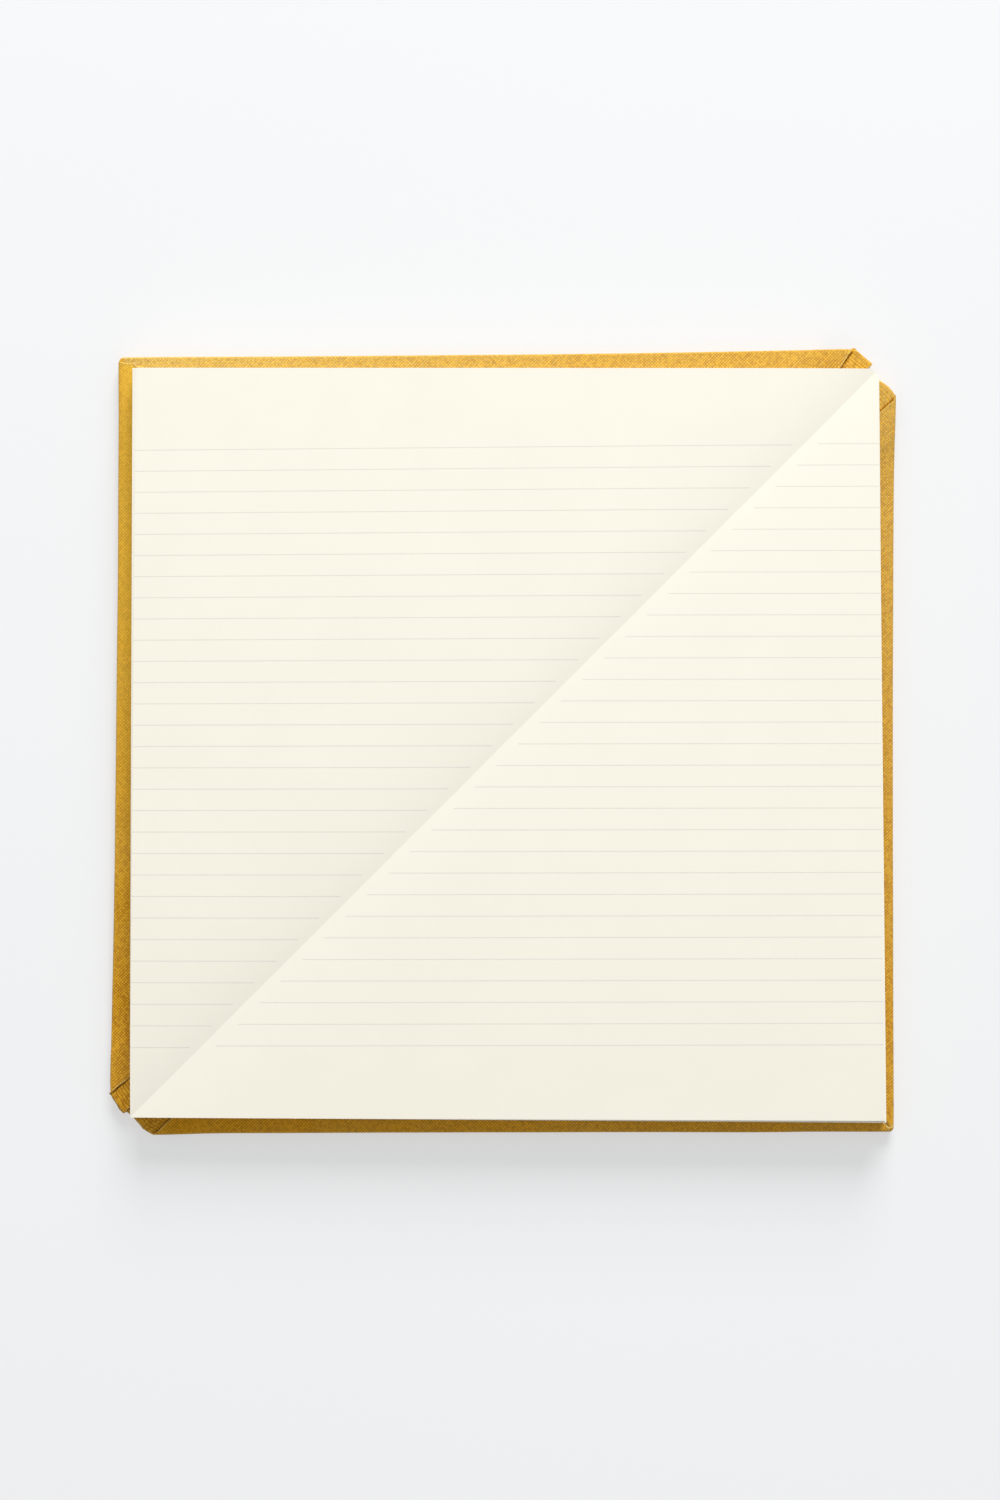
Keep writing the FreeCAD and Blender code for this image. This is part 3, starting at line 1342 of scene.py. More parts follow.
    def leg_rows(self, end: End) -> list[list[tuple]]:
        """Works out the rows along a leg, from beside the hinge to the rounded corner.

        Args:
            end: Which end of the spine.

        Returns:
            Rows of (t, s, z, flat t, flat s, wear).
        """
        plan, rows = self.plan, []
        length = plan.tip(0.0) - self.straight_from
        shares = list(np.linspace(0.0, 1.0, self.leg_steps)[:-1])
        shares += [1.0 - gap / length for gap in (3.0, 1.8, 1.0, 0.5, 0.22, 0.08, 0.0)]
        seed = self.side.value * 3.1 + end.value
        for share in sorted(set(shares)):
            away = (1.0 - share) * length
            lump = self.lump * ripple(share * length * 1.7, seed) * ramp(away, 1.0, 8.0)
            row = []
            for inset, z, up, gone, wear_and_light in self.profile(partial(self.leg_height, lump, away), 0.0):
                if inset < self.corner_radius:
                    centre = plan.tip(self.corner_radius)
                    last = centre + (self.corner_radius - inset) * plan.outward[0]
                else:
                    last = plan.tip(inset)
                t = self.straight_from + share * (last - self.straight_from)
                edge = self.outline(t, end) - plan.leg(t)
                s = max(plan.leg(t, inset) + edge * (1.0 - ramp(t, *self.settles)), 0.0)
                foot = np.array([t, s]) + plan.outward * inset
                flat = foot + plan.outward * gone if up > 0.0 else np.array([t, s])
                if self.fold is CornerFold.TUCKED and away < 0.4 and up > 0.9:
                    wear_and_light = max(wear_and_light, 0.6)
                row.append((t, s, z, flat[0], flat[1], self.worn_and_lit(wear_and_light, up, end, t)))
            rows.append(row)
        return rows

    def lap_rows(self) -> list[list[tuple]]:
        """Works out the turn-in that laps over its neighbour at the right-angled corner.

        Returns:
            Rows of (t, s, z, flat t, flat s, wear).
        """
        plan, rows = self.plan, []
        corner = np.array([plan.tip(0.0), 0.0])
        along = np.array([-1.0, plan.slope]) / plan.stretch
        for offset, rise, crease in LAP_STEPS:
            raised = plan.cover_top + self.lap_rise * rise
            row = []
            for inset, z, up, gone, wear_and_light in self.profile(lambda inset: raised, 0.0):
                if inset > LAP_SEAM[-1][0] or up < 0.15:
                    continue
                away = float(np.interp(inset, *zip(*LAP_SEAM))) + offset
                place = corner + along * away - plan.outward * (inset - 0.1 * rise)
                flat = place + plan.outward * (inset + gone)
                # Above zero the seam's ridge is rubbed and painted as a highlight; below zero its
                # crease is painted shade.
                row.append((*place, z, *flat, crease if up >= 1.0 else wear_and_light))
            rows.append(row)
        return rows

    def arc_rows(self) -> list[list[tuple]]:
        """Works out the rows round the cover's right-angled corner.

        Returns:
            Rows of (t, s, z, flat t, flat s, wear).
        """
        plan, rows = self.plan, []
        reach = math.atan2(plan.outward[1], plan.outward[0])
        centre = np.array([plan.tip(self.corner_radius), 0.0])
        for angle in np.linspace(reach, -reach, self.arc_steps + 2)[1:-1]:
            away = np.array([math.cos(angle), math.sin(angle)])
            foot = centre + away * self.corner_radius
            row = []
            for inset, z, up, gone, wear_and_light in self.profile(lambda inset: plan.cover_top, 0.0):
                place = centre + away * max(self.corner_radius - inset, 0.0)
                if inset >= self.corner_radius:
                    place = np.array([plan.tip(inset), 0.0])
                    if self.fold is CornerFold.TUCKED and up > 0.0:
                        z -= self.tuck_depth
                flat = foot + away * gone if up > 0.0 else place
                row.append((*place, z, *flat, min(wear_and_light * 1.3, 1.0)))
            rows.append(row)
        return rows

    def build(self) -> bpy.types.Object:
        """Returns:
            The cloth's object.
        """
        first = self.near_rows(End.TOP) + self.leg_rows(End.TOP)
        second = self.near_rows(End.BOTTOM) + self.leg_rows(End.BOTTOM)
        corner = self.arc_rows()
        mirror = np.array([1.0, -1.0, 1.0, 1.0, -1.0, 1.0])
        below = [[tuple(np.array(p) * mirror) for p in row] for row in reversed(second)]
        rows = np.array(first + corner + below)
        rows[..., [0, 3]] *= self.side.value
        mesh = PieceMesh()
        left = self.side is Side.LEFT
        mesh.grid(rows[..., :3], rows[..., 3:5], rows[..., 5], flip=left)
        upper = rows[: len(first), -1, :3]
        lower = rows[::-1][: len(second), -1, :3]
        if self.fold is CornerFold.LAPPED:
            lap = np.array(self.lap_rows()) * mirror
            lap[..., [0, 3]] *= self.side.value
            mesh.grid(lap[..., :3], lap[..., 3:5], lap[..., 5], flip=left, layer=1)
        steps = np.linspace(0.0, 1.0, self.fill_steps + 1)[None, :, None]
        fill = upper[:, None] * (1.0 - steps) + lower[:, None] * steps
        mesh.grid(fill, flip=left)
        area, flat = mesh.flat_area(), mesh.flat_size()
        cloth = mesh.piece(
            f"{self.side.word}_case_cloth", [self.finishes.cloth], self.plan.cloth, 50.0
        )
        blend_at_hinge(cloth, self.side, self.plan)
        return cloth


def blend_at_hinge(piece: bpy.types.Object, side: Side, plan: CasePlan) -> None:
    """Bakes a finished sheet's placement into its mesh, without bending it.

    Args:
        piece: The finished sheet.
        side: Which cover it goes on to.
        plan: The case's plan; not used.
    """
    side.cover
    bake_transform(piece)


# ---------------------------------------------------------------- leaves


@dataclass
class LeafShape:
    """Size and run of the leaves on one side, in millimetres.

    sinks are the depths of the opening at the spine, each with the distance over which it runs
    out. fold is how far below the opening the leaves still meet at the middle, and slot is how
    far from it they end further down. fan is how far the upper leaves are drawn in. top_shift is
    how far the open page's right-angled corner has slipped along the frame's x and y,
    corner_shift the same for the leaves below it, and tips how far the leaves reach past the
    CAD's trimmed tips at the two ends of the spine.
    """

    side: Side
    plan: CasePlan
    leaf_count: int = 48
    sinks: tuple[tuple[float, float], ...] = ((0.8, 7.0),)
    fold: float = 0.9
    slot: float = BACK_GAP
    fan: float = 0.3
    top_shift: tuple[float, float] = (0.0, 0.0)
    corner_shift: tuple[float, float] = (0.0, 0.0)
    tips: tuple[float, float] = (-0.15, 0.95)

    @property
    def dip(self) -> float:
        """How far the opening sinks at the spine."""
        return sum(depth for depth, _ in self.sinks)

    @property
    def pitch(self) -> float:
        """Height of one leaf in the stack."""
        return (self.plan.block_top - self.plan.block_base) / self.leaf_count

    def height(self, t: float, depth: float) -> float:
        """z of a leaf's upper face.

        Args:
            t: Distance from the spine's middle.
            depth: How deep the leaf lies, from 0 at the top to 1 at the bottom.

        Returns:
            The height.
        """
        base, top = self.plan.block_base, self.plan.block_top
        far = top - depth * (top - base)
        sunk = sum(deep * math.exp(-t / reach) for deep, reach in self.sinks)
        return far - sunk * (1.0 - depth)

    def shifted(self, t: float, s: float, shift: tuple[float, float]) -> tuple[float, float]:
        """Moves a point of a leaf as the leaf slips, most at its right-angled corner.

        Args:
            t: Distance from the spine's middle.
            s: Place along the spine.
            shift: How far the corner moves along the frame's x and y.

        Returns:
            The moved t, without the side's sign, and s.
        """
        share = t / self.plan.leaf_reach
        across = self.side.value * (shift[0] - shift[1]) / ROOT2
        along = (shift[0] + shift[1]) / ROOT2
        return t + across * share, s + along * share


@dataclass
class LeafStack:
    """All the leaves of one side but the open page, each a thin slab of its own.

    columns are the distances from the spine's middle at which a leaf has points. Leaves of one
    section stand out or in together by section_slip. Each leaf then has its own draw: how far it
    is drawn in, trimmed and slipped, at most, and its thickness as a share of the pitch.
    """

    shape: LeafShape
    finishes: Finishes
    columns: tuple[float, ...] = (
        1.6, 2.6, 4.0, 6.0, 8.5, 11.5, 15.0, 19.0, 23.5, 28.0, 45.0, 65.0, 85.0, 100.0, 112.0,
    )
    seed: int = 41
    section_leaves: int = 8
    section_slip: float = 0.05
    drawn_in: float = 0.11
    trimmed: float = 0.12
    slipped: float = 0.04
    thickness: tuple[float, float] = (0.78, 0.88)

    def leaf(self, number: int, rng: np.random.Generator) -> tuple[np.ndarray, np.ndarray]:
        """Works out one leaf.

        Args:
            number: Its number, from the top.
            rng: Where its own draws come from.

        Returns:
            Rows and columns of (t, s, z) on its upper and lower face.
        """
        shape, plan, side = self.shape, self.shape.plan, self.shape.side
        depth = number / shape.leaf_count
        section = math.sin(number // self.section_leaves * 2.4 + side.value)
        inset = shape.fan * (1.0 - depth) + self.section_slip * section
        inset += rng.uniform(0.0, self.drawn_in)
        reach = plan.leaf_reach - inset * ROOT2
        trim = rng.uniform(0.0, self.trimmed)
        ends = [plan.leaf_tip + extra - trim for extra in shape.tips]
        slip = min(number / 2.0, 1.0)
        shift = tuple(
            first + (rest - first) * slip + rng.uniform(-self.slipped, self.slipped)
            for first, rest in zip(shape.top_shift, shape.corner_shift)
        )
        folded = shape.height(0.0, depth) > plan.block_top - shape.dip - shape.fold
        inner = 0.0 if folded else shape.slot
        thick = shape.pitch * rng.uniform(*self.thickness)
        corners = [reach - end for end in ends]
        top, bottom = [], []
        for t in sorted({inner, *corners, *self.columns, reach - 0.001}):
            s_top, s_low = (min(end, reach - t) for end in ends)
            z = shape.height(t, depth)
            row = [shape.shifted(t, s, shift) for s in (s_top, s_top * 0.5, 0.0, -s_low * 0.5, -s_low)]
            top.append([(side.value * a, b, z) for a, b in row])
            bottom.append([(side.value * a, b, z - thick) for a, b in row])
        return np.array(top), np.array(bottom)

    def build(self) -> bpy.types.Object:
        """Makes the leaves, riding on the block.

        Returns:
            The leaves' object.
        """
        side = self.shape.side
        rng = np.random.default_rng(self.seed + side.value)
        mesh = PieceMesh()
        for number in range(1, self.shape.leaf_count):
            mesh.slab(*self.leaf(number, rng), flip=side is Side.RIGHT, layer=number)
        leaves = mesh.piece(f"{side.word}_leaves", [self.finishes.page])
        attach(leaves, "book_block")
        return leaves


@dataclass(frozen=True)
class Ruling:
    """The printed rules of one open page, in millimetres along the frame's axes.

    first is the top rule's place, and rule n lies n times (pitch + growth * n) below it. The
    tilt runs from tilt_first to tilt_last, in degrees. The rules start from_gutter away from the
    spine, along themselves, and end from_edge before the page's edge, or run off it at 0.
    """

    first: float
    pitch: float
    count: int
    width: float
    tilt_first: float
    tilt_last: float
    from_gutter: float
    from_edge: float
    growth: float = 0.0

    def lines(self) -> list[tuple[np.ndarray, np.ndarray]]:
        """Works out where the rules run.

        Returns:
            For each rule its middle and the direction across it, as t and s.
        """
        found = []
        for number in range(self.count):
            share = number / (self.count - 1)
            angle = math.radians(self.tilt_first + (self.tilt_last - self.tilt_first) * share)
            y = self.first - (self.pitch + self.growth * number) * number
            middle = from_frame(np.array([0.0, y * MM, 0.0]))[:2]
            across = from_frame(np.array([-math.sin(angle) * MM, math.cos(angle) * MM, 0.0]))[:2]
            found.append((middle, across))
        return found


@dataclass
class OpenPage:
    """The top leaf of one side, with its rules printed on.

    bends are the distances from the spine's middle at which the leaf can bend. thickness is its
    share of the leaves' pitch. wave is how deep it waves, from none to all over waves_from.
    """

    shape: LeafShape
    ruling: Ruling
    finishes: Finishes
    bends: tuple[float, ...] = (
        0.7, 1.6, 2.6, 4, 5.5, 7, 9, 11, 13, 15.5, 18, 20.5, 23, 25.5, 28, 31, 60, 90,
    )
    thickness: float = 0.8
    wave: float = 0.08
    waves_from: tuple[float, float] = (70.0, 118.0)

    def cut(self, mesh: bmesh.types.BMesh, place: Sequence[float], normal: Sequence[float]) -> None:
        """Cuts every face of the leaf along a straight line.

        Args:
            mesh: The flat leaf.
            place: A point on the line, as t and s.
            normal: The direction square to the line.
        """
        bmesh.ops.bisect_plane(
            mesh,
            geom=mesh.verts[:] + mesh.edges[:] + mesh.faces[:],
            dist=1e-5,
            plane_co=Vector((*place, 0.0)),
            plane_no=Vector((*normal, 0.0)),
        )

    def blank(self) -> bmesh.types.BMesh:
        """Cuts the flat leaf and creases it where it can bend.

        Returns:
            The leaf, flat, with t and s as its x and y.
        """
        shape, plan = self.shape, self.shape.plan
        reach = plan.leaf_reach - shape.fan * ROOT2
        up, low = (plan.leaf_tip + extra for extra in shape.tips)
        outline = [(0, up), (0, -low), (reach - low, -low), (reach, 0), (reach - up, up)]
        if shape.side is Side.LEFT:
            outline = [(-t, s) for t, s in reversed(outline)]
        leaf = bmesh.new()
        leaf.faces.new([leaf.verts.new((t, s, 0.0)) for t, s in outline])
        for t in sorted({*self.bends, self.ruling.from_gutter / ROOT2}):
            self.cut(leaf, (shape.side.value * t, 0.0), (1.0, 0.0))
        return leaf

    def rule(self, leaf: bmesh.types.BMesh) -> None:
        """Cuts the rules into the flat leaf and gives them the second material.

        Args:
            leaf: The flat leaf.
        """
        shape, ruling, side = self.shape, self.ruling, self.shape.side
        lines = ruling.lines()
        for middle, across in lines:
            for step in (-0.5, 0.5):
                self.cut(leaf, middle + across * ruling.width * step, across)
        edge = (shape.plan.leaf_reach / ROOT2 - shape.fan - ruling.from_edge) * side.value
        corner = from_frame(np.array([edge * MM, 0.0, 0.0]))[:2]
        square = from_frame(np.array([MM, 0.0, 0.0]))[:2]
        if ruling.from_edge:
            self.cut(leaf, corner, square)
        leaf.normal_update()
        for face in leaf.faces:
            centre = np.array(face.calc_center_median())[:2]
            inside = side.value * float((centre - corner) @ square) < 0.0
            clear = abs(centre[0]) > ruling.from_gutter / ROOT2
            hit = any(abs(float((centre - m) @ a)) < ruling.width * 0.5 for m, a in lines)
            face.material_index = int(inside and clear and hit)

    def lay(self, leaf: bmesh.types.BMesh) -> None:
        """Lays the flat leaf on the stack, sunk into the opening and slightly wavy.

        Args:
            leaf: The flat leaf.
        """
        shape = self.shape
        for vert in leaf.verts:
            t = abs(vert.co.x)
            a, b = shape.shifted(t, vert.co.y, shape.top_shift)
            wave = self.wave * ramp(t, *self.waves_from) * math.sin(b / 31.0 + 0.6)
            z = shape.height(t, 0.0) + min(wave, 0.0)
            vert.co = Vector((shape.side.value * a, b, z))

    def build(self) -> bpy.types.Object:
        """Makes the page, riding on the block.

        Returns:
            The page's object.
        """
        leaf = self.blank()
        self.rule(leaf)
        self.lay(leaf)
        mesh = PieceMesh()
        for face in leaf.faces:
            numbers = [mesh.vertex(v.co) for v in face.verts]
            mesh.face(numbers, [(v.co.x, v.co.y) for v in face.verts], face.material_index)
        leaf.free()
        page = mesh.piece(
            f"{self.shape.side.word}_open_page",
            [self.finishes.page, self.finishes.rule],
            self.shape.pitch * self.thickness,
        )
        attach(page, "book_block")
        return page


# ---------------------------------------------------------------- endpapers, lining, sewing, boards


@dataclass
class Endpaper:
    """The flyleaf under the block, and the pastedown with the strip that crosses the hinge.

    solid is the share of the paper's thickness that the skins get, so that they stay apart, and
    trim is how far inside the leaves' own outline both papers end.
    """

    side: Side
    plan: CasePlan
    finishes: Finishes
    paper: float = 0.15
    solid: float = 0.96
    trim: float = 0.05
    turn_in: float = TURN_IN
    slot: float = BACK_GAP

    def sheet(
        self, columns: Sequence[float], height: Callable[[float, float], float], rows: int
    ) -> PieceMesh:
        """Makes a leaf-shaped skin.

        Args:
            columns: Distances from the spine's middle.
            height: Its upper face's z at t and s.
            rows: How many points it has along the spine.

        Returns:
            The skin, looking up.
        """
        reach, tip = self.plan.leaf_reach - self.trim, self.plan.leaf_tip - self.trim
        points = []
        for t in columns:
            s = min(tip, reach - t)
            across = np.linspace(s, -s, rows)
            points.append([(self.side.value * t, b, height(t, b)) for b in across])
        mesh = PieceMesh()
        mesh.grid(np.array(points), flip=self.side is Side.RIGHT)
        return mesh

    def embossed(self, t: float, s: float) -> float:
        """z of the pastedown, which sinks on to the board inside the cloth's turn-ins.

        Args:
            t: Distance from the spine's middle.
            s: Place along the spine.

        Returns:
            The height of its upper face.
        """
        plan = self.plan
        high, low = plan.cover_top + self.paper, plan.board_top + self.paper
        inside = ramp(plan.inset_of(t, s), self.turn_in - 0.1, self.turn_in + 0.9)
        past = ramp(t, plan.cover_edge + 0.1, plan.cover_edge + 1.6)
        return high + (low - high) * inside * past

    def build(self) -> list[bpy.types.Object]:
        """Makes both papers.

        Returns:
            The flyleaf and the pastedown.
        """
        plan, side = self.plan, self.side
        skin = self.paper * self.solid
        reach = plan.leaf_reach - self.trim - 0.001
        straight = [*np.linspace(16.0, 112.0, 33), 114.0, 116.0, 118.0, reach]
        flyleaf = self.sheet(
            [self.slot, 4.0, 8.0, 12.0, *straight], lambda t, s: plan.block_base, 9
        ).piece(f"{side.word}_flyleaf_paper", [self.finishes.endpaper], skin)
        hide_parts(f"{side.word}_flyleaf")
        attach(flyleaf, "book_block")

        steps = (-HINGE_WIDTH, -0.55, -0.35, -0.15, 0.0, 0.4, 0.8, 1.2, 1.7, 2.4)
        hinge = [plan.cover_edge + step for step in steps]
        columns = [self.slot, 4.0, 8.0, *hinge, *np.linspace(16.0, 118.0, 103), 119.0, reach]
        pastedown = self.sheet(columns, self.embossed, 161).piece(
            f"{side.word}_pastedown_paper", [self.finishes.endpaper], skin
        )
        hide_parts(f"{side.word}_pastedown")
        blend_at_hinge(pastedown, side, plan)
        return [flyleaf, pastedown]


@dataclass
class CoverBoard:
    """The triangular greyboard of one cover, cut to the cloth's own outline.

    inside is how far it stays inside the cloth's outline, blunt how much its right-angled corner
    is cut off, and clear how far its faces stay off the cloth and paper.
    """

    side: Side
    plan: CasePlan
    finishes: Finishes
    inside: float = 0.42
    blunt: float = 1.0
    clear: float = 0.01

    def build(self) -> bpy.types.Object:
        """Makes the board, riding on its cover.

        Returns:
            The board's object.
        """
        plan, side = self.plan, self.side
        low, high = node_extent(f"{side.word}_board")
        first, last = plan.cover_edge + self.inside, plan.tip(self.inside) - self.blunt
        tops, feet = [], []
        for t in np.linspace(first, last, 24):
            reach = plan.leg(t, self.inside)
            along = np.linspace(reach, -reach, 9)
            tops.append([(side.value * t, s, high[2] - self.clear) for s in along])
            feet.append([(side.value * t, s, low[2] + self.clear) for s in along])
        mesh = PieceMesh()
        mesh.slab(np.array(tops), np.array(feet), flip=side is Side.RIGHT)
        board = mesh.piece(f"{side.word}_greyboard", [self.finishes.board])
        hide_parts(f"{side.word}_board")
        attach(board, side.cover)
        return board


@dataclass
class FrayedThreads:
    """Loose thread ends where the turn-ins meet at a cover's right-angled corner.

    Each tuft is given by how far from the corner it is along each leg, the way its threads point
    in degrees from the corner's own diagonal, and how many there are. The threads spread by up to
    spread degrees and curl by up to curl radians, and each is tapered from radius.
    """

    side: Side
    plan: CasePlan
    finishes: Finishes
    tufts: tuple[tuple[float, float, float, int], ...]
    radius: float = 0.08
    reach: float = 0.9
    spread: float = 38.0
    curl: float = 1.1
    seed: int = 7

    def thread(self, mesh: PieceMesh, path: np.ndarray, layer: int) -> None:
        """Adds a tapered tube.

        Args:
            mesh: The mesh to add to.
            path: The points along the thread's middle.
            layer: The thread's number.
        """
        way = np.gradient(path, axis=0)
        way /= np.linalg.norm(way, axis=1, keepdims=True)
        across = np.cross(way, [0.0, 0.0, 1.0])
        across /= np.linalg.norm(across, axis=1, keepdims=True)
        up = np.cross(across, way)
        turns = np.linspace(0.0, 2 * math.pi, 7)
        width = self.radius * np.linspace(1.0, 0.55, len(path))
        rings = np.array([
            [p + r * (math.cos(a) * u + math.sin(a) * v) for a in turns]
            for p, u, v, r in zip(path, across, up, width)
        ])
        mesh.grid(rings, layer=layer, flip=True)
        mesh.cap(rings[0], False, layer)
        mesh.cap(rings[-1], True, layer)

    def build(self) -> bpy.types.Object:
        """Makes the threads, riding on their cover.

        Returns:
            The threads' object.
        """
        plan, side = self.plan, self.side
        rng = np.random.default_rng(self.seed + side.value)
        corner = np.array([plan.tip(0.0), 0.0])
        along = np.array([-1.0, plan.slope]) / plan.stretch
        twin = along * [1.0, -1.0]
        mesh, layer = PieceMesh(), 0
        for first, second, bearing, count in self.tufts:
            middle = corner + along * second + twin * first
            for _ in range(count):
                angle = math.radians(180.0 + bearing + rng.uniform(-self.spread, self.spread))
                bend = rng.uniform(-self.curl, self.curl)
                length = self.reach * rng.uniform(0.55, 1.3)
                start = middle + rng.uniform(-0.3, 0.3, 2)
                z = plan.cover_top + rng.uniform(0.12, 0.3)
                path = []
                for step in np.linspace(0.0, 1.0, 7):
                    turn = angle + bend * step
                    ahead = np.array([math.cos(turn), math.sin(turn)]) * length * step
                    height = z + 0.22 * math.sin(math.pi * step) - 0.15 * step
                    path.append((*((start + ahead) * [side.value, 1.0]), height))
                self.thread(mesh, np.array(path), layer)
                layer += 1
        threads = mesh.piece(f"{side.word}_corner_fray", [self.finishes.fray])
        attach(threads, side.cover)
        return threads


@dataclass
class SpineLining:
    """Gauze over the block's back, up between the two stacks and out to both joints.

    rise is how far its upper face lies above the CAD node's foot, flare where it leaves that
    level, and clear how far it stays off the leaves and the fold.
    """

    finishes: Finishes
    thick: float = 0.18
    slot: float = BACK_GAP
    rise: float = 0.2
    flare: float = 1.6
    clear: float = 0.03

    def build(self) -> bpy.types.Object:
        """Makes the gauze, riding on the block.

        Returns:
            The lining's object.
        """
        low, high = node_extent("spine_lining")
        wing, half, crown = high
        base = low[2] + self.rise
        inner = self.slot - self.clear
        path = [(-wing, base), (-6.0, base), (-self.flare, base), (-inner - 0.15, base + 0.06)]
        path += [(-inner, base + 0.3), (-inner, crown - 0.3), (-inner + 0.25, crown - self.clear)]
        path += [(0.0, crown)]
        path += [(-t, z) for t, z in reversed(path[:-1])]
        gone = np.concatenate([[0.0], np.cumsum(np.hypot(*np.diff(np.array(path), axis=0).T))])
        along = np.linspace(-half, half, 61)
        points = np.array([[(t, s, z) for s in along] for t, z in path])
        flats = np.array([[(g, s) for s in along] for g in gone])
        mesh = PieceMesh()
        mesh.grid(points, flats)
        area, flat = mesh.flat_area(), mesh.flat_size()
        lining = mesh.piece("spine_lining_gauze", [self.finishes.gauze], self.thick)
        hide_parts("spine_lining")
        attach(lining, "book_block")
        return lining


@dataclass
class Sewing:
    """The long stitches in the fold, each of two plies twisted together.

    ply_offset is how far a ply's middle lies from the stitch's own, and twist how far it turns
    round it, in radians, from each of the stitch's steps to the next.
    """

    finishes: Finishes
    stitch_count: int = 8
    stitch_pitch: float = 26.0
    stitch_length: float = 22.0
    stitch_steps: int = 66
    ply_radius: float = 0.15
    ply_offset: float = 0.14
    twist: float = 0.55

    def ply(self, start: float, z: float, turned: float) -> np.ndarray:
        """Works out one ply of a stitch.

        Args:
            start: Where the stitch starts along the spine.
            z: The stitch's height.
            turned: Where on the stitch's round the ply starts, in radians.

        Returns:
            Rings of (t, s, z) round the ply.
        """
        rings = []
        for step in range(self.stitch_steps + 1):
            s = start + self.stitch_length * step / self.stitch_steps
            a = turned + step * self.twist
            middle = np.array([self.ply_offset * math.cos(a), s, z + self.ply_offset * math.sin(a)])
            rings.append([
                middle + self.ply_radius * np.array([math.cos(turn), 0.0, math.sin(turn)])
                for turn in np.linspace(0.0, 2 * math.pi, 9)
            ])
        return np.array(rings)

    def build(self) -> bpy.types.Object:
        """Makes the stitches, riding on the block.

        Returns:
            The thread's object.
        """
        low, high = node_extent("sewing_thread")
        z = (low[2] + high[2]) / 2
        mesh = PieceMesh()
        for number in range(self.stitch_count):
            middle = (number - (self.stitch_count - 1) / 2) * self.stitch_pitch
            for second in (0, 1):
                layer = number * 2 + second
                rings = self.ply(middle - self.stitch_length / 2, z, second * math.pi)
                mesh.grid(rings, layer=layer)
                mesh.cap(rings[0], True, layer)
                mesh.cap(rings[-1], False, layer)
        thread = mesh.piece("spine_stitches", [self.finishes.thread])
        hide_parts("sewing_thread")
        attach(thread, "book_block")
        return thread


@dataclass
class SpineStrip:
    """The stiff strip inside the spine, with its edges eased by the glued cloth.

    short is how far it stops before the CAD node's ends, eased how far its edges are cut off,
    and clear how far its faces stay off the cloth.
    """

    finishes: Finishes
    short: float = 1.2
    eased: float = 0.25
    clear: float = 0.02

    def build(self) -> bpy.types.Object:
        """Makes the strip, riding on the block.

        Returns:
            The strip's object.
        """
        low, high = node_extent("spine_board")
        half, end = high[0], high[1] - self.short
        wide, flat = half - self.clear, half - self.eased
        top, foot = high[2] - self.clear, low[2] + self.clear
        upper, lower = high[2] - self.eased, low[2] + self.eased
        path = [
            (-flat, top), (flat, top), (wide, upper), (wide, lower),
            (flat, foot), (-flat, foot), (-wide, lower), (-wide, upper), (-flat, top),
        ]
        mesh = PieceMesh()
        along = np.linspace(-end, end, 25)
        mesh.grid(np.array([[(t, s, z) for s in along] for t, z in path]))
        for s, turned in ((-end, True), (end, False)):
            mesh.cap([(t, s, z) for t, z in path], turned, flats=path[:-1])
        strip = mesh.piece("spine_strip", [self.finishes.board])
        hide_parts("spine_board")
        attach(strip, "book_block")
        return strip


# ---------------------------------------------------------------- the studio


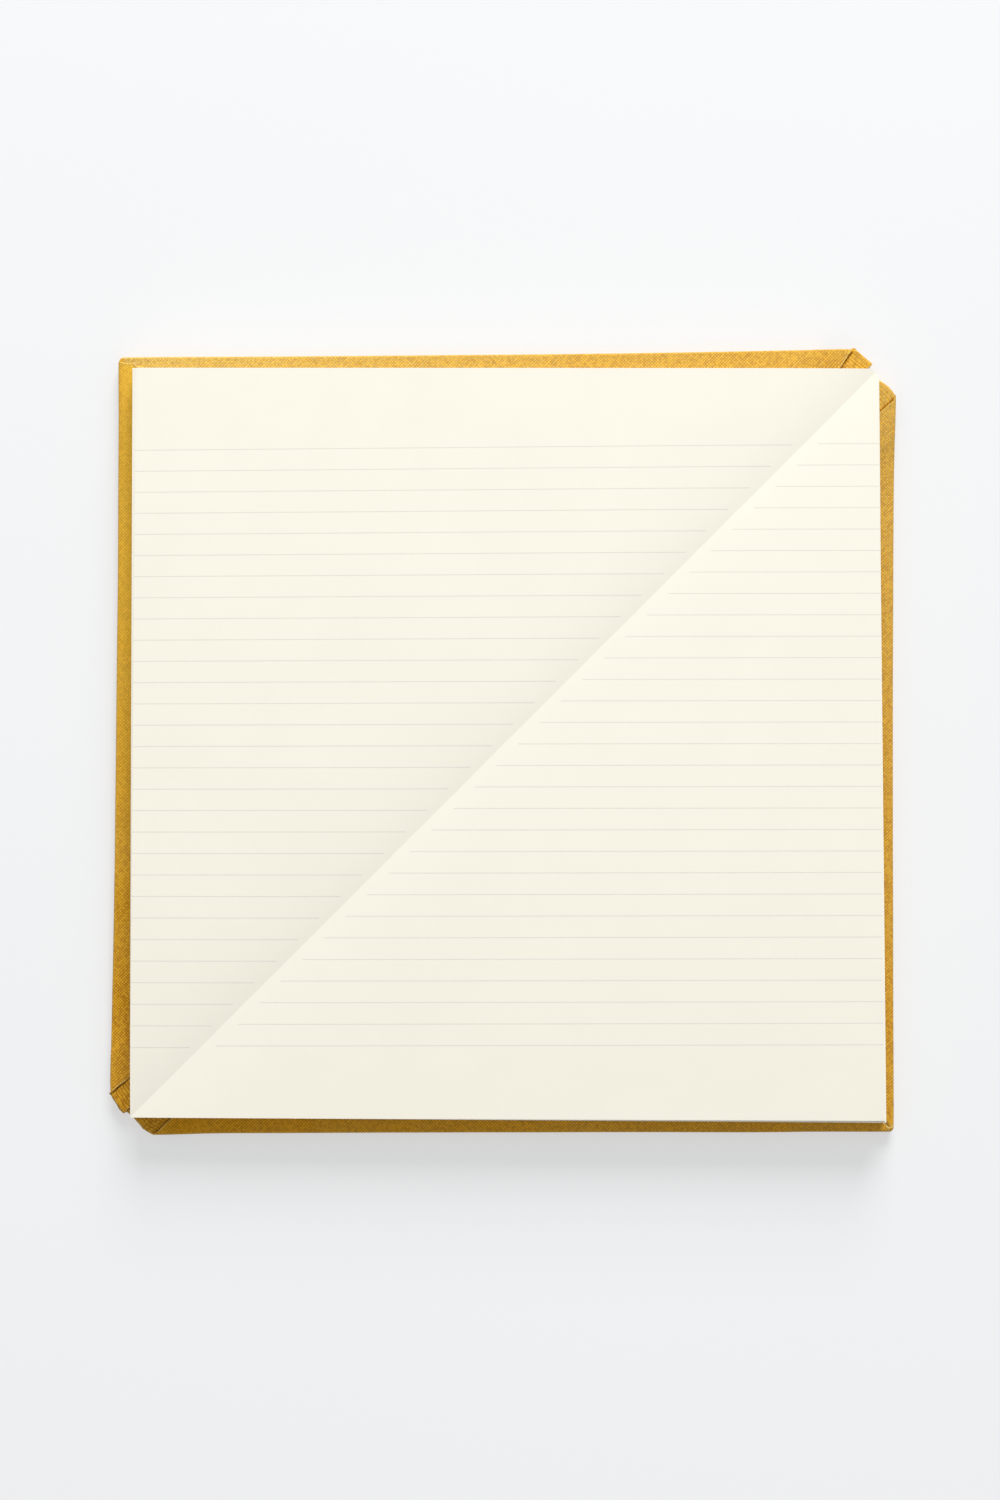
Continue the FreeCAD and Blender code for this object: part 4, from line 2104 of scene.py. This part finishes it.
@dataclass
class Studio:
    """Floor, soft light and camera, in metres, degrees and watts, but the lens in millimetres.

    The floor is a square of floor_tiles by floor_tiles, floor_half from its middle to each side,
    and floor_gap under the notebook. backdrop is the colour that the camera and shiny things see
    of the world, and sky is the colour of its light.
    """

    finishes: Finishes
    camera_place: tuple[float, float, float] = (0.0022, -0.008, 0.5)
    camera_turn: tuple[float, float, float] = (0.741, 0.387, 0.003)
    lens: float = 52.125
    sensor: float = 36.0
    near: float = 0.01
    lamp_place: tuple[float, float, float] = (0.28, 1.89, 0.97)
    lamp_size: float = 1.1
    lamp_power: float = 65.0
    sky: tuple[float, float, float] = (0.97, 0.985, 1.0)
    sky_strength: float = 0.45
    backdrop: tuple[float, float, float] = (0.93, 0.94, 0.95)
    floor_half: float = 12.0
    floor_tiles: int = 12
    floor_gap: float = 0.00002

    def floor(self) -> None:
        """Makes the tabletop."""
        mesh = bpy.data.meshes.new("tabletop")
        columns = self.floor_tiles + 1
        steps = np.linspace(-self.floor_half, self.floor_half, columns)
        places = [(x, y, -self.floor_gap) for y in steps for x in steps]
        faces = [
            (j * columns + i, j * columns + i + 1, (j + 1) * columns + i + 1, (j + 1) * columns + i)
            for j in range(self.floor_tiles)
            for i in range(self.floor_tiles)
        ]
        mesh.from_pydata(places, [], faces)
        mesh.materials.append(self.finishes.floor)
        table = bpy.data.objects.new("tabletop", mesh)
        bpy.context.scene.collection.objects.link(table)

    def key_lamp(self) -> None:
        """Makes the soft lamp that faces the notebook."""
        light = bpy.data.lights.new("key_lamp", "AREA")
        light.shape = "SQUARE"
        light.size = self.lamp_size
        light.energy = self.lamp_power
        lamp = bpy.data.objects.new("key_lamp", light)
        lamp.location = self.lamp_place
        lamp.rotation_euler = (-Vector(self.lamp_place)).to_track_quat("-Z", "Y").to_euler()
        bpy.context.scene.collection.objects.link(lamp)

    def world(self) -> bpy.types.World:
        """Makes the soft sky, with a plain backdrop for the camera and for shiny things.

        Returns:
            The world.
        """
        world = bpy.data.worlds.new("soft_sky")
        world.use_nodes = True
        tree = world.node_tree
        sky = tree.nodes["Background"]
        sky.inputs["Color"].default_value = rgba(self.sky)
        sky.inputs["Strength"].default_value = self.sky_strength
        plain = tree.nodes.new("ShaderNodeBackground")
        plain.inputs["Color"].default_value = rgba(self.backdrop)
        path = tree.nodes.new("ShaderNodeLightPath")
        seen = path.outputs["Is Camera Ray"]
        for ray in ("Is Glossy Ray", "Is Transmission Ray"):
            either = tree.nodes.new("ShaderNodeMath")
            either.operation = "MAXIMUM"
            tree.links.new(seen, either.inputs[0])
            tree.links.new(path.outputs[ray], either.inputs[1])
            seen = either.outputs[0]
        mixer = tree.nodes.new("ShaderNodeMixShader")
        for source, socket in zip((seen, sky.outputs[0], plain.outputs[0]), mixer.inputs):
            tree.links.new(source, socket)
        tree.links.new(mixer.outputs[0], tree.nodes["World Output"].inputs["Surface"])
        return world

    def camera(self) -> bpy.types.Object:
        """Makes the camera, which looks nearly straight down on the open notebook.

        Returns:
            The camera's object.
        """
        lens = bpy.data.cameras.new("camera")
        lens.lens = self.lens
        lens.sensor_width = self.sensor
        lens.clip_start = self.near
        camera = bpy.data.objects.new("camera", lens)
        camera.location = self.camera_place
        camera.rotation_euler = tuple(math.radians(a) for a in self.camera_turn)
        return camera

    def build(self) -> None:
        """Makes the floor, lamp, sky and camera."""
        scene = bpy.context.scene
        scene.view_settings.view_transform = "Standard"
        self.floor()
        self.key_lamp()
        scene.world = self.world()
        camera = self.camera()
        scene.collection.objects.link(camera)
        scene.camera = camera


# ---------------------------------------------------------------- the notebook


def end_folds() -> dict[Side, dict[End, EndFold]]:
    """Shapes the four folds at the ends of the spine, each as it was turned in by hand.

    Returns:
        Each side's and end's fold.
    """
    return {
        Side.LEFT: {
            End.TOP: EndFold(
                outline=((0, -0.9), (1.72, -0.9), (1.9, 0.88), (4.6, 0.62), (7.4, 0.5), (14, 0.5)),
                pleat=1.85,
                flap=((0, 7.3), (1.2, 7.2), (2.5, 6.9), (4.3, 6.3)),
            ),
            End.BOTTOM: EndFold(
                outline=(
                    (0, 0.5), (1.62, 0.75), (1.8, 1.45), (4.1, 1.5), (4.3, 1.1), (5.6, 0.9),
                    (7.0, 0.5), (14, 0.5),
                ),
                pleat=1.75,
                flap=((0, 7.05), (1.8, 7.04), (3.8, 6.64), (4.8, 6.66)),
            ),
        },
        Side.RIGHT: {
            End.TOP: EndFold(
                outline=(
                    (0, -0.9), (1.3, -0.9), (1.7, -0.68), (3.3, -0.32), (4.9, -0.13),
                    (5.9, -0.35), (6.9, -0.5), (14, -0.5),
                ),
                pleat=1.4,
                flap=((0, 6.95), (0.65, 7.4), (2.1, 7.23), (3.3, 7.1)),
                pleat_rise=0.15,
                stand=-0.06,
            ),
            End.BOTTOM: EndFold(
                outline=(
                    (0, 0.45), (0.7, 0.55), (2.5, 0.66), (4.1, 0.86), (5.4, 0.4), (6.7, 0.1),
                    (14, 0.1),
                ),
                pleat=0.9,
                flap=((0, 6.4), (1.1, 6.6), (2.4, 6.5), (3.1, 6.6)),
                pleat_rise=0.15,
                stand=0.16,
            ),
        },
    }


def case_plans() -> dict[Side, CasePlan]:
    """Plans each half of the case, with the way its own legs were cut and covered.

    Returns:
        Each side's plan.
    """
    left = ((7, 0.28), (9, 0.42), (14, 0.38), (20, 0.28), (30, 0.15), (45, 0.0), (90, 0.0))
    left += ((105, 0.1), (118, 0.2))
    right = ((8, -0.35), (12, -0.46), (20, -0.63), (30, -0.61), (45, -0.57), (60, -0.46))
    right += ((75, -0.35), (90, -0.18), (105, 0.0), (115, 0.1), (122, 0.2))
    return {Side.LEFT: CasePlan(left), Side.RIGHT: CasePlan(right)}


def leaf_shapes(plans: dict[Side, CasePlan]) -> dict[Side, LeafShape]:
    """Sets the run of the leaves on each side.

    Args:
        plans: Each side's plan of the case.

    Returns:
        Each side's leaves.
    """
    return {
        Side.LEFT: LeafShape(
            Side.LEFT, plans[Side.LEFT], top_shift=(1.0, 0.3), corner_shift=(0.25, 0.26)
        ),
        Side.RIGHT: LeafShape(
            Side.RIGHT,
            plans[Side.RIGHT],
            sinks=((0.4, 8.0), (0.4, 45.0)),
            top_shift=(0.8, -0.47),
            corner_shift=(1.28, -1.0),
        ),
    }


def leg_painted_light() -> dict[Side, dict[End, tuple[float, float]]]:
    """Sets how pale each leg's turn-in is painted, standing in for the light that falls on it.

    Returns:
        For each side and end, the painted paleness at the spine and at the right-angled corner.
    """
    return {
        Side.LEFT: {End.TOP: (0.18, 0.54), End.BOTTOM: (0.0, 0.0)},
        Side.RIGHT: {End.TOP: (0.37, 0.06), End.BOTTOM: (0.0, 0.16)},
    }


def frays() -> dict[Side, tuple[tuple[float, float, float, int], ...]]:
    """Places the loose threads at each cover's right-angled corner.

    Returns:
        Each side's tufts, as FrayedThreads takes them.
    """
    return {
        Side.LEFT: ((1.5, 3.7, 0.0, 7),),
        Side.RIGHT: ((1.0, 1.1, 60.0, 3), (2.1, 1.9, -10.0, 3)),
    }


def rulings() -> dict[Side, Ruling]:
    """Sets the printed rules on each open page.

    Returns:
        Each side's rules.
    """
    return {
        Side.LEFT: Ruling(66.77, 4.788, 29, 0.22, 0.545, -0.1, 2.3, 0.0, 0.0022),
        Side.RIGHT: Ruling(67.58, 4.847, 29, 0.22, 0.1, 0.34, 3.2, 0.15),
    }


def main() -> None:
    """Builds every piece in order and reports it."""
    logging.basicConfig(level=logging.INFO, format="%(message)s")
    finishes = Finishes()
    Studio(finishes).build()
    plans = case_plans()
    folds, shapes, rules = end_folds(), leaf_shapes(plans), rulings()
    painted_light, tufts = leg_painted_light(), frays()
    corners = {Side.LEFT: CornerFold.LAPPED, Side.RIGHT: CornerFold.TUCKED}
    pieces: list[bpy.types.Object] = []
    for side, plan in plans.items():
        cloth = CaseCloth(side, plan, finishes, corners[side], folds[side], painted_light[side]).build()
        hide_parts(f"{side.word}_cover_cloth", "spine_cloth")
        pieces.append(cloth)
        pieces += Endpaper(side, plan, finishes).build()
        leaves = LeafStack(shapes[side], finishes).build()
        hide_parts("text_block")
        pieces.append(leaves)
        pieces.append(OpenPage(shapes[side], rules[side], finishes).build())
        pieces.append(CoverBoard(side, plan, finishes).build())
        pieces.append(FrayedThreads(side, plan, finishes, tufts[side]).build())
    pieces += [
        SpineLining(finishes).build(),
        Sewing(finishes).build(),
        SpineStrip(finishes).build(),
    ]
    for piece in pieces:
        log.info("%s: %d faces", piece.name, len(piece.data.polygons))


if __name__ == "__main__":
    main()
